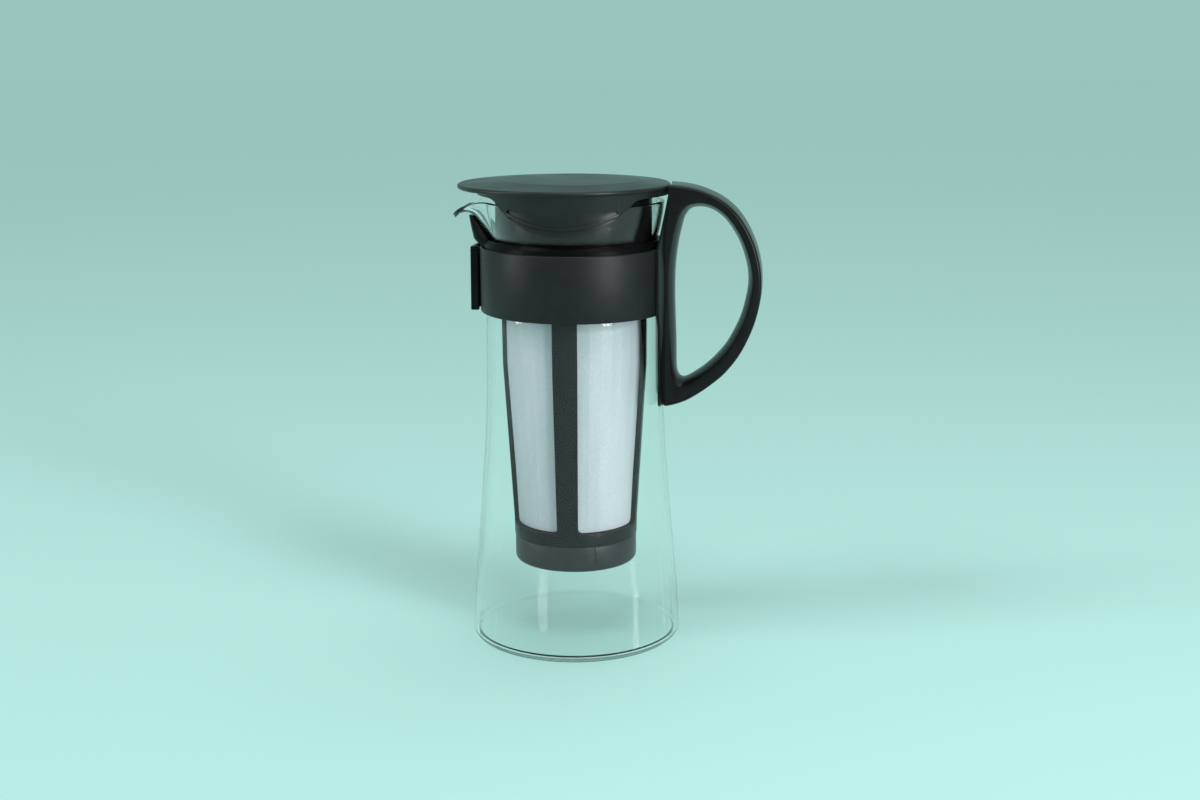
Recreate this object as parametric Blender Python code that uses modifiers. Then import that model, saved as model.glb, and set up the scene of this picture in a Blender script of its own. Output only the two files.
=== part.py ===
# Cold brew coffee maker: a clear glass jug with a clamped band and handle, a lift-off lid
# and a lift-out mesh strainer whose bottom cap turns on a bayonet.
# Metres, +Z up. The origin is the centre of the jug's underside, the handle is at +X and the
# spout at -X, so the two finger flaps of the lid face -Y and +Y.

import bpy
import bmesh
from math import asin, cos, pi, radians, sin, sqrt
from mathutils import Vector

# Fits between pieces
TOUCH_GAP = 0.0003
LOOSE_GAP = 0.0008
CUT_OVERRUN = 0.002
MERGE_DISTANCE = 0.00001
SAME_LEVEL = 0.00003
SOFT_EDGE_ANGLE = radians(35)
SAME_ANGLE = radians(0.5)

# Glass jug, outer surface: the heights above the base build on each other
BASE_RADIUS = 0.049
BASE_CORNER = 0.0038
BODY_TOP_RADIUS = 0.0404
WAIST_DRAW = 0.0038
MOUTH_FLARE = 0.0047
GLASS_HEIGHT = 0.2044
NECK_HEIGHT = 0.0299
SHOULDER_HEIGHT = 0.0245
GLASS_WALL = 0.0020
GLASS_FLOOR = 0.0032
RIM_ROUND_SHARE = 0.3
RIM_EDGE_ANGLE = radians(55)
GLASS_SEGMENTS = 48
SPOUT_SEGMENTS = 12
SHOULDER_STEPS = 4
WAIST_RADIUS = BODY_TOP_RADIUS - WAIST_DRAW
MOUTH_RADIUS = WAIST_RADIUS + MOUTH_FLARE
WAIST_HEIGHT = GLASS_HEIGHT - NECK_HEIGHT
BODY_TOP_HEIGHT = WAIST_HEIGHT - SHOULDER_HEIGHT

# The body draws in from the base to its top: share of the height, share of the draw
BODY_DRAW_SHARES = (
    (0.14, 0.12), (0.30, 0.36), (0.48, 0.63), (0.66, 0.86), (0.83, 0.97), (1.0, 1.0),
)
# The neck flares from the waist to the mouth: share of the height, share of the flare
FLARE_SHARES = (
    (0.0, 0.0), (0.22, 0.04), (0.39, 0.20), (0.51, 0.44),
    (0.64, 0.65), (0.76, 0.80), (0.88, 0.92), (1.0, 1.0),
)

# Pouring spout: a lip pulled out and bent down at -X
SPOUT_OVERHANG = 0.0137
SPOUT_TIP_DROP = 0.0084
SPOUT_CREST_DROP = 0.0051
SPOUT_HALF_ANGLE = radians(29)
SPOUT_DROP_POWER = 2.1
SPOUT_REACH = MOUTH_RADIUS + SPOUT_OVERHANG
SPOUT_TIP_HEIGHT = GLASS_HEIGHT - SPOUT_TIP_DROP
SPOUT_CREST_HEIGHT = GLASS_HEIGHT - SPOUT_CREST_DROP
# Along the middle of the spout, for the same rows as the flare: share of the way from the waist
# to the tip outwards, and share of the way from the waist to the crest upwards
SPOUT_LINE_SHARES = (
    (0.0, 0.0), (0.01, 0.26), (0.06, 0.49), (0.19, 0.65), (0.385, 0.85), (0.58, 0.99), (0.80, 0.97),
)

# Band round the waist, its end lugs and its rail
BAND_BELOW_WAIST = 0.0200
BAND_HEIGHT = 0.0298
BAND_PROUD = 0.0025
BAND_WALL = 0.0016
BAND_CORNER = 0.0007
BAND_SPLIT = 0.0016
BAND_STEPS = 48
BAND_BOTTOM = WAIST_HEIGHT - BAND_BELOW_WAIST
BAND_RADIUS = BODY_TOP_RADIUS + BAND_PROUD
LUG_DEPTH = 0.0023
LUG_ROOT_WIDTH = 0.0034
LUG_TIP_WIDTH = 0.0044
LUG_HEIGHT = 0.0225
LUG_LIFT = 0.0012
LUG_TOP_SHARE = 0.84
RAIL_DEPTH = 0.0021
RAIL_ROOT_WIDTH = 0.0080
RAIL_TIP_WIDTH = 0.0100
RAIL_HEIGHT = 0.0230
RAIL_LIFT = 0.0030

# Clip that closes the band under the spout
CLIP_WALL = 0.0014
CLIP_FLANGE = 0.0016
CLIP_HEIGHT = 0.0292
CLIP_CORNER = 0.0004

# Soft liner between the glass and the band, with a tongue under the spout
LINER_LIFT = 0.0035
LINER_LIP_RISE = 0.0032
LINER_LIP_WALL = 0.0013
LINER_BULGE_SHARE = 0.33
LINER_ROWS = 7
LINER_SEGMENTS = 48
TONGUE_STEPS = 10
TONGUE_TOP_DROP = 0.0070
TONGUE_FOOT_PROUD = 0.0008
TONGUE_LEAN = 0.0046
TONGUE_FOOT_ANGLE = radians(25)
TONGUE_TOP_ANGLE = radians(7)
TONGUE_TAPER_POWER = 1.3
TONGUE_LEAN_SHARES = (0.0, 0.48, 0.62, 0.74, 0.84, 0.93, 1.0)
TONGUE_TOP = GLASS_HEIGHT - TONGUE_TOP_DROP
TONGUE_FOOT_RADIUS = BAND_RADIUS + TONGUE_FOOT_PROUD
TONGUE_TOP_RADIUS = TONGUE_FOOT_RADIUS + TONGUE_LEAN

# Handle: half widths across, its reach, and its closed ring of sections
HANDLE_OUT = 0.0429
HANDLE_ABOVE_GLASS = 0.0081
HANDLE_HEIGHT = 0.1007
HANDLE_BACK_DEPTH = 0.0067
HANDLE_HALF_WIDTH = 0.0110
HANDLE_CROWN = 0.0026
HANDLE_EDGE = 0.0016
HANDLE_TOP_CLEARANCE = 0.0012
HANDLE_REACH = BAND_RADIUS + HANDLE_OUT
HANDLE_TOP = GLASS_HEIGHT + HANDLE_ABOVE_GLASS
HANDLE_BOTTOM = HANDLE_TOP - HANDLE_HEIGHT
HANDLE_BACK_X = BAND_RADIUS - HANDLE_BACK_DEPTH
# Each section of the handle runs from a point on the hole's edge to one on the outline.
# The shares are of the way from the root's back to the reach, and from the bottom to the top.
HANDLE_SECTION_SHARES = (
    ((0.2207, 0.287), (0.0001, 0.299)),
    ((0.2102, 0.427), (0.0001, 0.437)),
    ((0.2059, 0.552), (0.0001, 0.559)),
    ((0.2146, 0.655), (0.0001, 0.675)),
    ((0.2408, 0.749), (0.0001, 0.797)),
    ((0.2775, 0.829), (0.0001, 0.929)),
    ((0.3037, 0.862), (0.0191, 1.0005)),
    ((0.3492, 0.889), (0.1827, 1.000)),
    ((0.4156, 0.898), (0.3494, 0.990)),
    ((0.4906, 0.895), (0.5110, 0.965)),
    ((0.5815, 0.876), (0.6708, 0.922)),
    ((0.6812, 0.832), (0.8095, 0.853)),
    ((0.7825, 0.754), (0.9219, 0.752)),
    ((0.8490, 0.663), (0.9831, 0.650)),
    ((0.8734, 0.580), (1.0000, 0.562)),
    ((0.8560, 0.502), (0.9860, 0.473)),
    ((0.8017, 0.402), (0.9284, 0.366)),
    ((0.6969, 0.296), (0.8240, 0.254)),
    ((0.5885, 0.227), (0.6939, 0.166)),
    ((0.4785, 0.176), (0.5655, 0.108)),
    ((0.3718, 0.139), (0.4354, 0.061)),
    ((0.3089, 0.122), (0.3071, 0.025)),
    ((0.2723, 0.120), (0.1615, 0.003)),
    ((0.2425, 0.134), (0.0191, 0.000)),
    ((0.2251, 0.173), (0.0001, 0.096)),
)
SECTION_STEPS = 2
CROWN_SHARES = (0.22, 0.50, 0.74, 0.90)
BACK_BEND_SHARES = (0.45, 0.40)
ROOT_FOOT_TURN = radians(243)
HANDLE_SHARP_ANGLE = radians(40)
ROOT_FOOT_ROUND = 0.0024
# The root's two wings hug the band: height shares from the bottom to the top, half width, inset
ROOT_HALF_WIDTH = 0.0178
ROOT_LOW_HALF_WIDTH = 0.0163
ROOT_TOP_HALF_WIDTH = 0.0108
ROOT_LOW_SPAN = 0.0070
ROOT_BACK_INSET = 0.0008
ROOT_FOOT_LIFT = 0.0011
ROOT_EDGE_WALL = 0.0009
ROOT_WING_DEPTH = 0.0034
ROOT_WING_END = 0.0094
ROOT_WING_SINK = 0.0020
ROOT_WING_TOP_DROP = 0.0035
ROOT_FOOT_INSETS = ((0.0, 0.0010), (0.0004, 0.0003), (0.0012, 0.0))
WING_CURVE_SHARES = ((0.33, 0.61), (0.67, 0.27))

# Strainer: its cup sits in the glass's mouth and its cap hangs over the jug's floor
CUP_TOP_PROUD = 0.0014
CUP_MOUTH_ROOM = 0.0056
CUP_DEPTH = 0.0153
CUP_SEAT_DEPTH = 0.0213
SEAT_DROP = 0.0016
CUP_WALL = 0.0016
TUBE_ROOM = 0.0030
TUBE_WALL = 0.0021
FRAME_STEP = 0.0001
FRAME_DRAW = 0.0047
FRAME_WALL = 0.0030
FRAME_SEGMENTS = 48
CAP_ABOVE_FLOOR = 0.0335
CAP_HEIGHT = 0.0123
WINDOW_SILL = 0.0060
WINDOW_BELOW_SEAT = 0.0285
BEND_BELOW_WINDOW = 0.0060
CUP_TOP = GLASS_HEIGHT + CUP_TOP_PROUD
CUP_FOOT = CUP_TOP - CUP_DEPTH
CUP_SEAT = CUP_TOP - CUP_SEAT_DEPTH
CUP_RADIUS = MOUTH_RADIUS - CUP_MOUTH_ROOM
TUBE_RADIUS = WAIST_RADIUS - TUBE_ROOM
FRAME_TOP_RADIUS = TUBE_RADIUS - FRAME_STEP
FRAME_BOTTOM_RADIUS = FRAME_TOP_RADIUS - FRAME_DRAW
CAP_BOTTOM = GLASS_FLOOR + CAP_ABOVE_FLOOR
FRAME_BOTTOM = CAP_BOTTOM + CAP_HEIGHT
WINDOW_BOTTOM = FRAME_BOTTOM + WINDOW_SILL
WINDOW_TOP = CUP_SEAT - WINDOW_BELOW_SEAT
FRAME_BEND_HEIGHT = WINDOW_TOP - BEND_BELOW_WINDOW
# The frame widens from its bottom to its bend: share of the height, share of the widening
FRAME_TAPER_SHARES = ((0.0, 0.0), (0.07, 0.02), (0.30, 0.27), (0.55, 0.62), (0.80, 0.96), (1.0, 1.0))
RIB_HALF_ANGLE = radians(9.5)
WINDOW_COUNT = 4
WINDOW_CORNER = 0.0018
WINDOW_STEPS = 7
MESH_RECESS = 0.0022
MESH_THICKNESS = 0.0004

# Bayonet cap under the strainer
CAP_DRAW = 0.0003
CAP_FLOOR = 0.0018
CAP_LIP = 0.0028
CAP_LIP_WALL = 0.0022
CAP_WALL = 0.0012
CAP_CORNER = 0.0020
SPIGOT_DRAW = 0.0025
SPIGOT_WALL = 0.0016
SPIGOT_DEPTH = 0.0075
CAP_RADIUS = FRAME_BOTTOM_RADIUS - CAP_DRAW
SPIGOT_RADIUS = CAP_RADIUS - SPIGOT_DRAW
CATCH_COUNT = 3
CATCH_HALF_ANGLE = radians(9)
CATCH_REACH = 0.0009
CATCH_HEIGHT = 0.0018
CATCH_TURN = radians(30)
CATCH_START = radians(27)
NOTCH_MARGIN = radians(2.5)
MARK_ANGLE = radians(-63)
MARK_HALF_ANGLE = radians(0.9)
MARK_PROUD = 0.0003

# Lid: it rests on the strainer's cup, with a plug inside it and two flaps outside the glass
LID_STAND = 0.0082
LID_PLATE = 0.0020
LID_BRIM_DROP = 0.0015
LID_BRIM_EDGE = 0.0022
LID_BRIM_OVERHANG = 0.0047
LID_BRIM_SHIFT = -0.0043
LID_PLATEAU_RING = 0.0169
LID_PLATEAU_SHIFT = -0.0012
LID_CREASE = 0.0016
CREASE_DROP_SHARES = (0.06, 0.22)
CREASE_SHIFT_SHARE = 0.1
LID_SEGMENTS = 48
LID_SHARP_ANGLE = radians(30)
LID_WALL_ROOM = 0.0023
LID_WALL_THICKNESS = 0.0018
LID_WALL_DROP = 0.0024
PLUG_WALL = 0.0015
PLUG_REACH = 0.0083
LID_TOP = CUP_TOP + LID_STAND
LID_WALL_RADIUS = MOUTH_RADIUS + LID_WALL_ROOM
LID_BRIM_RADIUS = LID_WALL_RADIUS + LID_BRIM_OVERHANG
LID_PLATEAU_RADIUS = LID_BRIM_RADIUS - LID_PLATEAU_RING
PLUG_BOTTOM = CUP_TOP - PLUG_REACH

# Finger flaps at -Y and +Y
FLAP_DROP = 0.0217
FLAP_ARC_SHARE = 0.9174
FLAP_FILLET = 0.0070
FLAP_ARC_STEPS = 13
GRIP_DEPTH = 0.0010
GRIP_TOP_DROP = 0.0103
GRIP_BOTTOM_DROP = 0.0173
GRIP_WIDTH_SHARE = 0.562
GRIP_ROUND = 0.0014
GROOVE_DROP = 0.0009
GROOVE_WIDTH = 0.0009
GROOVE_DEPTH = 0.0006
GROOVE_END_SHARE = 0.92
FLAP_BOTTOM = LID_TOP - FLAP_DROP
FLAP_ARC_RADIUS = LID_WALL_RADIUS * FLAP_ARC_SHARE
GRIP_TOP = LID_TOP - GRIP_TOP_DROP
GRIP_BOTTOM = LID_TOP - GRIP_BOTTOM_DROP
GRIP_HALF_WIDTH = LID_WALL_RADIUS * GRIP_WIDTH_SHARE

BLACK_SATIN = (0.018, 0.018, 0.020, 1.0)
BLACK_GLOSS = (0.010, 0.010, 0.011, 1.0)
DARK_RUBBER = (0.012, 0.012, 0.013, 1.0)
CLEAR_GLASS = (0.97, 0.99, 0.99, 1.0)
PALE_MESH = (0.62, 0.68, 0.72, 1.0)


def fresh_scene():
    """Clears the scene and returns the collections for the parts and for the cutters."""
    for item in list(bpy.data.objects):
        bpy.data.objects.remove(item, do_unlink=True)
    parts = bpy.data.collections.new("cold_brew_coffee_maker")
    cutters = bpy.data.collections.new("cutters")
    for group in (parts, cutters):
        bpy.context.scene.collection.children.link(group)
    return parts, cutters


PARTS, CUTTERS = fresh_scene()


def material(name, colour, roughness, transmission=0.0, alpha=1.0):
    made = bpy.data.materials.new(name)
    made.use_nodes = True
    shader = made.node_tree.nodes["Principled BSDF"]
    shader.inputs["Base Color"].default_value = colour
    shader.inputs["Roughness"].default_value = roughness
    shader.inputs["Metallic"].default_value = 0.0
    shader.inputs["Transmission Weight"].default_value = transmission
    shader.inputs["Alpha"].default_value = alpha
    return made


def group_empty(name, location=(0, 0, 0), parent=None):
    """An empty that carries the pieces of one moving group, on that group's axis."""
    empty = bpy.data.objects.new(name, None)
    empty.location = location
    empty.parent = parent
    PARTS.objects.link(empty)
    return empty


def object_from(mesh_data, name, group=None):
    made = bpy.data.objects.new(name, mesh_data)
    (group or PARTS).objects.link(made)
    return made


def object_from_bmesh(bm, name, group=None, closed=True):
    """Closed bodies get their faces turned outwards; an open shell keeps the faces as built."""
    mesh_data = bpy.data.meshes.new(name)
    if closed:
        bmesh.ops.recalc_face_normals(bm, faces=bm.faces)
    bm.to_mesh(mesh_data)
    bm.free()
    return object_from(mesh_data, name, group)


def as_helper(helper):
    helper.hide_render = True
    helper.display_type = "WIRE"
    return helper


def combine(target, helper, operation):
    """Adds an exact Boolean of this helper to the target."""
    change = target.modifiers.new(operation.lower() + "_" + helper.name, "BOOLEAN")
    change.operation = operation
    change.solver = "EXACT"
    change.object = helper
    return change


def smooth_with_sharp_edges(target, angle=SOFT_EDGE_ANGLE):
    for face in target.data.polygons:
        face.use_smooth = True
    target.data.set_sharp_from_angle(angle=angle)


def blend(low, high, share):
    return low + (high - low) * share


def smooth_ring(points, steps):
    """A closed Catmull-Rom line through the points."""
    count = len(points)
    ring = []
    for index in range(count):
        before, start, end, after = (Vector(points[(index + shift) % count]) for shift in (-1, 0, 1, 2))
        for step in range(steps):
            t = step / steps
            ring.append(
                start
                + (end - before) * (t / 2)
                + (before * 2 - start * 5 + end * 4 - after) * (t * t / 2)
                + (start * 3 - before - end * 3 + after) * (t * t * t / 2)
            )
    return ring


def arc(centre, radius, start, end, steps):
    """Points of an arc in a plane, angles from the first axis."""
    return [
        (centre[0] + radius * cos(blend(start, end, step / steps)),
         centre[1] + radius * sin(blend(start, end, step / steps)))
        for step in range(steps + 1)
    ]


def turned(name, profile, segments, group=None):
    """A closed ring of (radius, height) points, running down its outer side, turned about Z."""
    mesh_data = bpy.data.meshes.new(name)
    points = [(radius, 0, height) for radius, height in profile]
    count = len(points)
    ends_on_axis = profile[0][0] == 0 and profile[-1][0] == 0
    edge_count = count - 1 if ends_on_axis else count
    mesh_data.from_pydata(points, [(index, (index + 1) % count) for index in range(edge_count)], [])
    made = object_from(mesh_data, name, group)
    screw = made.modifiers.new("turn", "SCREW")
    screw.axis = "Z"
    screw.angle = 2 * pi
    screw.steps = segments
    screw.render_steps = segments
    screw.use_merge_vertices = True
    screw.merge_threshold = MERGE_DISTANCE
    screw.use_smooth_shade = True
    return made


def turned_block(name, profile, start, end, steps, group=None):
    """Part of a turn about Z: the closed outline of (radius, height) swept between two angles."""
    bm = bmesh.new()
    along = (cos(start), sin(start))
    corners = [bm.verts.new((radius * along[0], radius * along[1], height)) for radius, height in profile]
    face = bm.faces.new(corners)
    bmesh.ops.spin(bm, geom=[face], cent=(0, 0, 0), axis=(0, 0, 1), angle=end - start, steps=steps)
    return object_from_bmesh(bm, name, group)


def prism(name, outline, low, high, place, group=None, top_outline=None):
    """A flat outline pushed along the third axis; place turns (a, b, along) into (x, y, z)."""
    bm = bmesh.new()
    bottom = [bm.verts.new(place(a, b, low)) for a, b in outline]
    top = [bm.verts.new(place(a, b, high)) for a, b in (top_outline or outline)]
    bm.faces.new(bottom)
    bm.faces.new(top)
    count = len(outline)
    for index in range(count):
        after = (index + 1) % count
        bm.faces.new((bottom[index], bottom[after], top[after], top[index]))
    return object_from_bmesh(bm, name, group)


def upright(a, b, along):
    return (a, b, along)


def crosswise(a, b, along):
    return (a, along, b)


def bevelled(target, width, segments=2, angle=radians(40)):
    bevel = target.modifiers.new("round_edges", "BEVEL")
    bevel.width = width
    bevel.segments = segments
    bevel.limit_method = "ANGLE"
    bevel.angle_limit = angle
    return bevel


# Glass jug

def flare_row(share):
    """Plain neck point at this share of the way from the waist to the mouth."""
    up, out = share
    return (blend(WAIST_RADIUS, MOUTH_RADIUS, out), blend(WAIST_HEIGHT, GLASS_HEIGHT, up))


def neck_rows():
    """Rows of the neck: the plain (radius, height) and the one along the middle of the spout."""
    plain = [flare_row(share) for share in FLARE_SHARES]
    middle = [
        (blend(WAIST_RADIUS, SPOUT_REACH, out), blend(WAIST_HEIGHT, SPOUT_CREST_HEIGHT, up))
        for out, up in SPOUT_LINE_SHARES
    ]
    middle.append((SPOUT_REACH, SPOUT_TIP_HEIGHT))
    return list(zip(plain, middle))


NECK_ROWS = neck_rows()


def spout_weight(angle):
    """1 in the middle of the spout at -X, falling smoothly to 0 beside it."""
    away = abs(angle % (2 * pi) - pi)
    share = max(0.0, 1 - away / SPOUT_HALF_ANGLE)
    return share * share * (3 - 2 * share)


def glass_point(row, angle, grow=0.0):
    """Point on the glass's outer side, for a row of the neck, with its radius grown."""
    (plain_radius, plain_height), (spout_radius, spout_height) = row
    weight = spout_weight(angle)
    radius = blend(plain_radius, spout_radius, weight) + grow
    height = blend(plain_height, spout_height, weight ** SPOUT_DROP_POWER)
    return Vector((radius * cos(angle), radius * sin(angle), height))


def body_rows():
    """(radius, height) rows of the glass from the foot of its corner up to the waist."""
    rows = [
        (radius, height)
        for radius, height in arc((BASE_RADIUS - BASE_CORNER, BASE_CORNER), BASE_CORNER, -pi / 2, 0, 2)
    ]
    rows += [
        (blend(BASE_RADIUS, BODY_TOP_RADIUS, draw), BODY_TOP_HEIGHT * up)
        for up, draw in BODY_DRAW_SHARES
    ]
    for step in range(1, SHOULDER_STEPS):
        share = step / SHOULDER_STEPS
        rows.append(
            (blend(BODY_TOP_RADIUS, WAIST_RADIUS, (1 - cos(pi * share)) / 2),
             blend(BODY_TOP_HEIGHT, WAIST_HEIGHT, share))
        )
    return rows


def glass_angles():
    """Angles of the glass's columns, set closer across the spout."""
    across = [pi + SPOUT_HALF_ANGLE * (2 * step / SPOUT_SEGMENTS - 1) for step in range(SPOUT_SEGMENTS)]
    others = GLASS_SEGMENTS - SPOUT_SEGMENTS
    span = 2 * pi - 2 * SPOUT_HALF_ANGLE
    return across + [pi + SPOUT_HALF_ANGLE + span * step / others for step in range(others)]


def make_glass():
    bm = bmesh.new()
    angles = glass_angles()
    rows = [
        [(radius * cos(angle), radius * sin(angle), height) for angle in angles]
        for radius, height in body_rows()
    ]
    rows += [[glass_point(row, angle) for angle in angles] for row in NECK_ROWS]
    rings = [[bm.verts.new(point) for point in row] for row in rows]
    for lower, upper in zip(rings, rings[1:]):
        for index in range(GLASS_SEGMENTS):
            after = (index + 1) % GLASS_SEGMENTS
            bm.faces.new((lower[index], lower[after], upper[after], upper[index]))
    hub = bm.verts.new((0, 0, 0))
    for index in range(GLASS_SEGMENTS):
        bm.faces.new((hub, rings[0][(index + 1) % GLASS_SEGMENTS], rings[0][index]))
    bm.verts.index_update()
    floor_points = [hub.index] + [vert.index for ring in rings[:2] for vert in ring]
    glass = object_from_bmesh(bm, "carafe_glass", closed=False)
    floor = glass.vertex_groups.new(name="floor")
    floor.add(floor_points, 1.0, "REPLACE")
    wall = glass.modifiers.new("wall", "SOLIDIFY")
    wall.thickness = GLASS_FLOOR
    wall.offset = -1
    wall.use_even_offset = True
    wall.vertex_group = floor.name
    wall.thickness_vertex_group = GLASS_WALL / GLASS_FLOOR
    smooth_with_sharp_edges(glass)
    bevelled(glass, GLASS_WALL * RIM_ROUND_SHARE, 1, RIM_EDGE_ANGLE)
    glass.data.materials.append(material("borosilicate_glass", CLEAR_GLASS, 0.02, transmission=1.0))
    return glass


# Band, clip and liner

def glass_radius_at(height, angle=0.0):
    """Outer radius of the glass at this height, away from the spout or at an angle of it."""
    rows = body_rows() if height < WAIST_HEIGHT else None
    if rows is None:
        points = [glass_point(row, angle) for row in NECK_ROWS]
        rows = [(sqrt(point.x ** 2 + point.y ** 2), point.z) for point in points]
    for (low_radius, low), (high_radius, high) in zip(rows, rows[1:]):
        if low <= height <= high and high > low:
            return blend(low_radius, high_radius, (height - low) / (high - low))
    return rows[-1][0]


def rounded_band_outline(inner, outer, low, high, corner):
    """Cross-section of a ring with its two outer corners rounded, outer side first, going down."""
    top = arc((outer - corner, high - corner), corner, pi / 2, 0, 2)
    bottom = arc((outer - corner, low + corner), corner, 0, -pi / 2, 2)
    return top + bottom + [(inner, low), (inner, high)]


def lug_outline(side, width_share, inner, outer):
    """Plan of one wedge-shaped lug at the split of the band, seen from above."""
    split = BAND_SPLIT / 2
    return [
        (-inner, side * split),
        (-inner, side * (split + LUG_ROOT_WIDTH * width_share)),
        (-outer, side * (split + LUG_TIP_WIDTH * width_share)),
        (-outer, side * split),
    ]


def make_band():
    half_split = asin(BAND_SPLIT / 2 / BAND_RADIUS)
    band_top = BAND_BOTTOM + BAND_HEIGHT
    outline = rounded_band_outline(BAND_RADIUS - BAND_WALL, BAND_RADIUS, BAND_BOTTOM, band_top, BAND_CORNER)
    band = turned_block("band", outline, -pi + half_split, pi - half_split, BAND_STEPS)
    lug_root = BAND_RADIUS - BAND_WALL / 2
    lug_low = BAND_BOTTOM + LUG_LIFT
    for side, label in ((-1, "front"), (1, "rear")):
        wide = lug_outline(side, 1, lug_root, BAND_RADIUS + LUG_DEPTH)
        narrow = lug_outline(side, LUG_TOP_SHARE, lug_root, BAND_RADIUS + LUG_DEPTH)
        lug = prism("lug_" + label, wide, lug_low, lug_low + LUG_HEIGHT, upright, CUTTERS, narrow)
        combine(band, as_helper(lug), "UNION")
    rail = prism("rail", rail_outline(0), rail_bottom(), rail_bottom() + RAIL_HEIGHT, upright, CUTTERS)
    combine(band, as_helper(rail), "UNION")
    smooth_with_sharp_edges(band)
    band.data.materials.append(material("band_plastic", BLACK_SATIN, 0.42))
    return band


def rail_bottom():
    return BAND_BOTTOM + RAIL_LIFT


def rail_outline(grow):
    """Plan of the dovetail rail at +X, or of its groove when grown by a clearance."""
    inner = BAND_RADIUS - BAND_WALL / 2
    outer = BAND_RADIUS + RAIL_DEPTH + grow
    root = RAIL_ROOT_WIDTH / 2 + grow
    tip = RAIL_TIP_WIDTH / 2 + grow
    return [(inner, -root), (outer, -tip), (outer, tip), (inner, root)]


def lug_width(radius):
    """Width of a lug's foot at this distance from the axis: it widens outwards."""
    inner = BAND_RADIUS - BAND_WALL / 2
    return blend(LUG_ROOT_WIDTH, LUG_TIP_WIDTH, (radius - inner) / (BAND_RADIUS + LUG_DEPTH - inner))


def make_clip():
    """A channel that slides down over the two lugs and draws the band tight."""
    low = BAND_BOTTOM
    split = BAND_SPLIT / 2
    plate_inner = BAND_RADIUS + LUG_DEPTH + TOUCH_GAP
    plate_outer = plate_inner + CLIP_WALL
    flange_inner = BAND_RADIUS + TOUCH_GAP

    def channel(width_share):
        root = split + lug_width(flange_inner) * width_share + TOUCH_GAP
        tip = split + lug_width(plate_inner) * width_share + TOUCH_GAP
        outer = tip + CLIP_FLANGE
        half = [(-plate_inner, tip), (-flange_inner, root), (-flange_inner, outer), (-plate_outer, outer)]
        return half + [(x, -y) for x, y in half[::-1]]

    slope = (1 - LUG_TOP_SHARE) / LUG_HEIGHT
    bottom_share = 1 + slope * LUG_LIFT
    top_share = 1 - slope * (CLIP_HEIGHT - LUG_LIFT)
    top = channel(top_share)
    clip = prism("band_clip", channel(bottom_share), low, low + CLIP_HEIGHT, upright, top_outline=top)
    bevelled(clip, CLIP_CORNER, 2)
    smooth_with_sharp_edges(clip)
    clip.data.materials.append(material("clip_plastic", BLACK_GLOSS, 0.25))
    return clip


def make_liner():
    """A turned ring that fills the space between the waist of the glass and the band."""
    band_inner = BAND_RADIUS - BAND_WALL
    low = BAND_BOTTOM + LINER_LIFT
    high = BAND_BOTTOM + BAND_HEIGHT
    outer = band_inner - TOUCH_GAP
    lip_top = high + LINER_LIP_RISE
    inner_heights = [blend(low, lip_top, step / LINER_ROWS) for step in range(LINER_ROWS + 1)]
    inner = [
        (max(glass_radius_at(height), glass_radius_at(height, pi)) + TOUCH_GAP, height)
        for height in inner_heights
    ]
    lip_radius = inner[-1][0] + LINER_LIP_WALL
    bulge_top = high + LINER_LIP_RISE * LINER_BULGE_SHARE
    profile = [(lip_radius, lip_top), (outer, bulge_top), (outer, low)] + inner
    liner = turned("band_liner", profile, LINER_SEGMENTS)
    combine(liner, as_helper(make_tongue()), "UNION")
    liner.data.materials.append(material("liner_rubber", DARK_RUBBER, 0.35))
    return liner


def tongue_inner(height, angle):
    return glass_radius_at(height, angle) + TOUCH_GAP


def make_tongue():
    """The part of the liner that climbs up under the spout, following the glass."""
    low = BAND_BOTTOM + BAND_HEIGHT + TOUCH_GAP
    rows = len(TONGUE_LEAN_SHARES) - 1
    bm = bmesh.new()
    inner_rows = []
    outer_rows = []
    for row, lean in enumerate(TONGUE_LEAN_SHARES):
        share = row / rows
        height = blend(low, TONGUE_TOP, share)
        half_angle = blend(TONGUE_FOOT_ANGLE, TONGUE_TOP_ANGLE, share ** TONGUE_TAPER_POWER)
        outer = blend(TONGUE_FOOT_RADIUS, TONGUE_TOP_RADIUS, lean)
        inner_row = []
        outer_row = []
        for step in range(TONGUE_STEPS + 1):
            across = 2 * step / TONGUE_STEPS - 1
            angle = pi + half_angle * across
            inside = tongue_inner(height, angle)
            swell = max(0.0, outer - inside - LINER_LIP_WALL)
            outside = inside + LINER_LIP_WALL + swell * (1 - across ** 2)
            inner_row.append(bm.verts.new((inside * cos(angle), inside * sin(angle), height)))
            outer_row.append(bm.verts.new((outside * cos(angle), outside * sin(angle), height)))
        inner_rows.append(inner_row)
        outer_rows.append(outer_row)
    for rows_of in (inner_rows, outer_rows):
        for lower, upper in zip(rows_of, rows_of[1:]):
            for index in range(TONGUE_STEPS):
                bm.faces.new((lower[index], lower[index + 1], upper[index + 1], upper[index]))
    for inner_row, outer_row in ((inner_rows[0], outer_rows[0]), (inner_rows[-1], outer_rows[-1])):
        for index in range(TONGUE_STEPS):
            bm.faces.new((inner_row[index], inner_row[index + 1], outer_row[index + 1], outer_row[index]))
    for side in (0, -1):
        inner_side = [row[side] for row in inner_rows]
        outer_side = [row[side] for row in outer_rows]
        for row in range(rows):
            bm.faces.new((inner_side[row], inner_side[row + 1], outer_side[row + 1], outer_side[row]))
    return object_from_bmesh(bm, "tongue", CUTTERS)


# Handle

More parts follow.
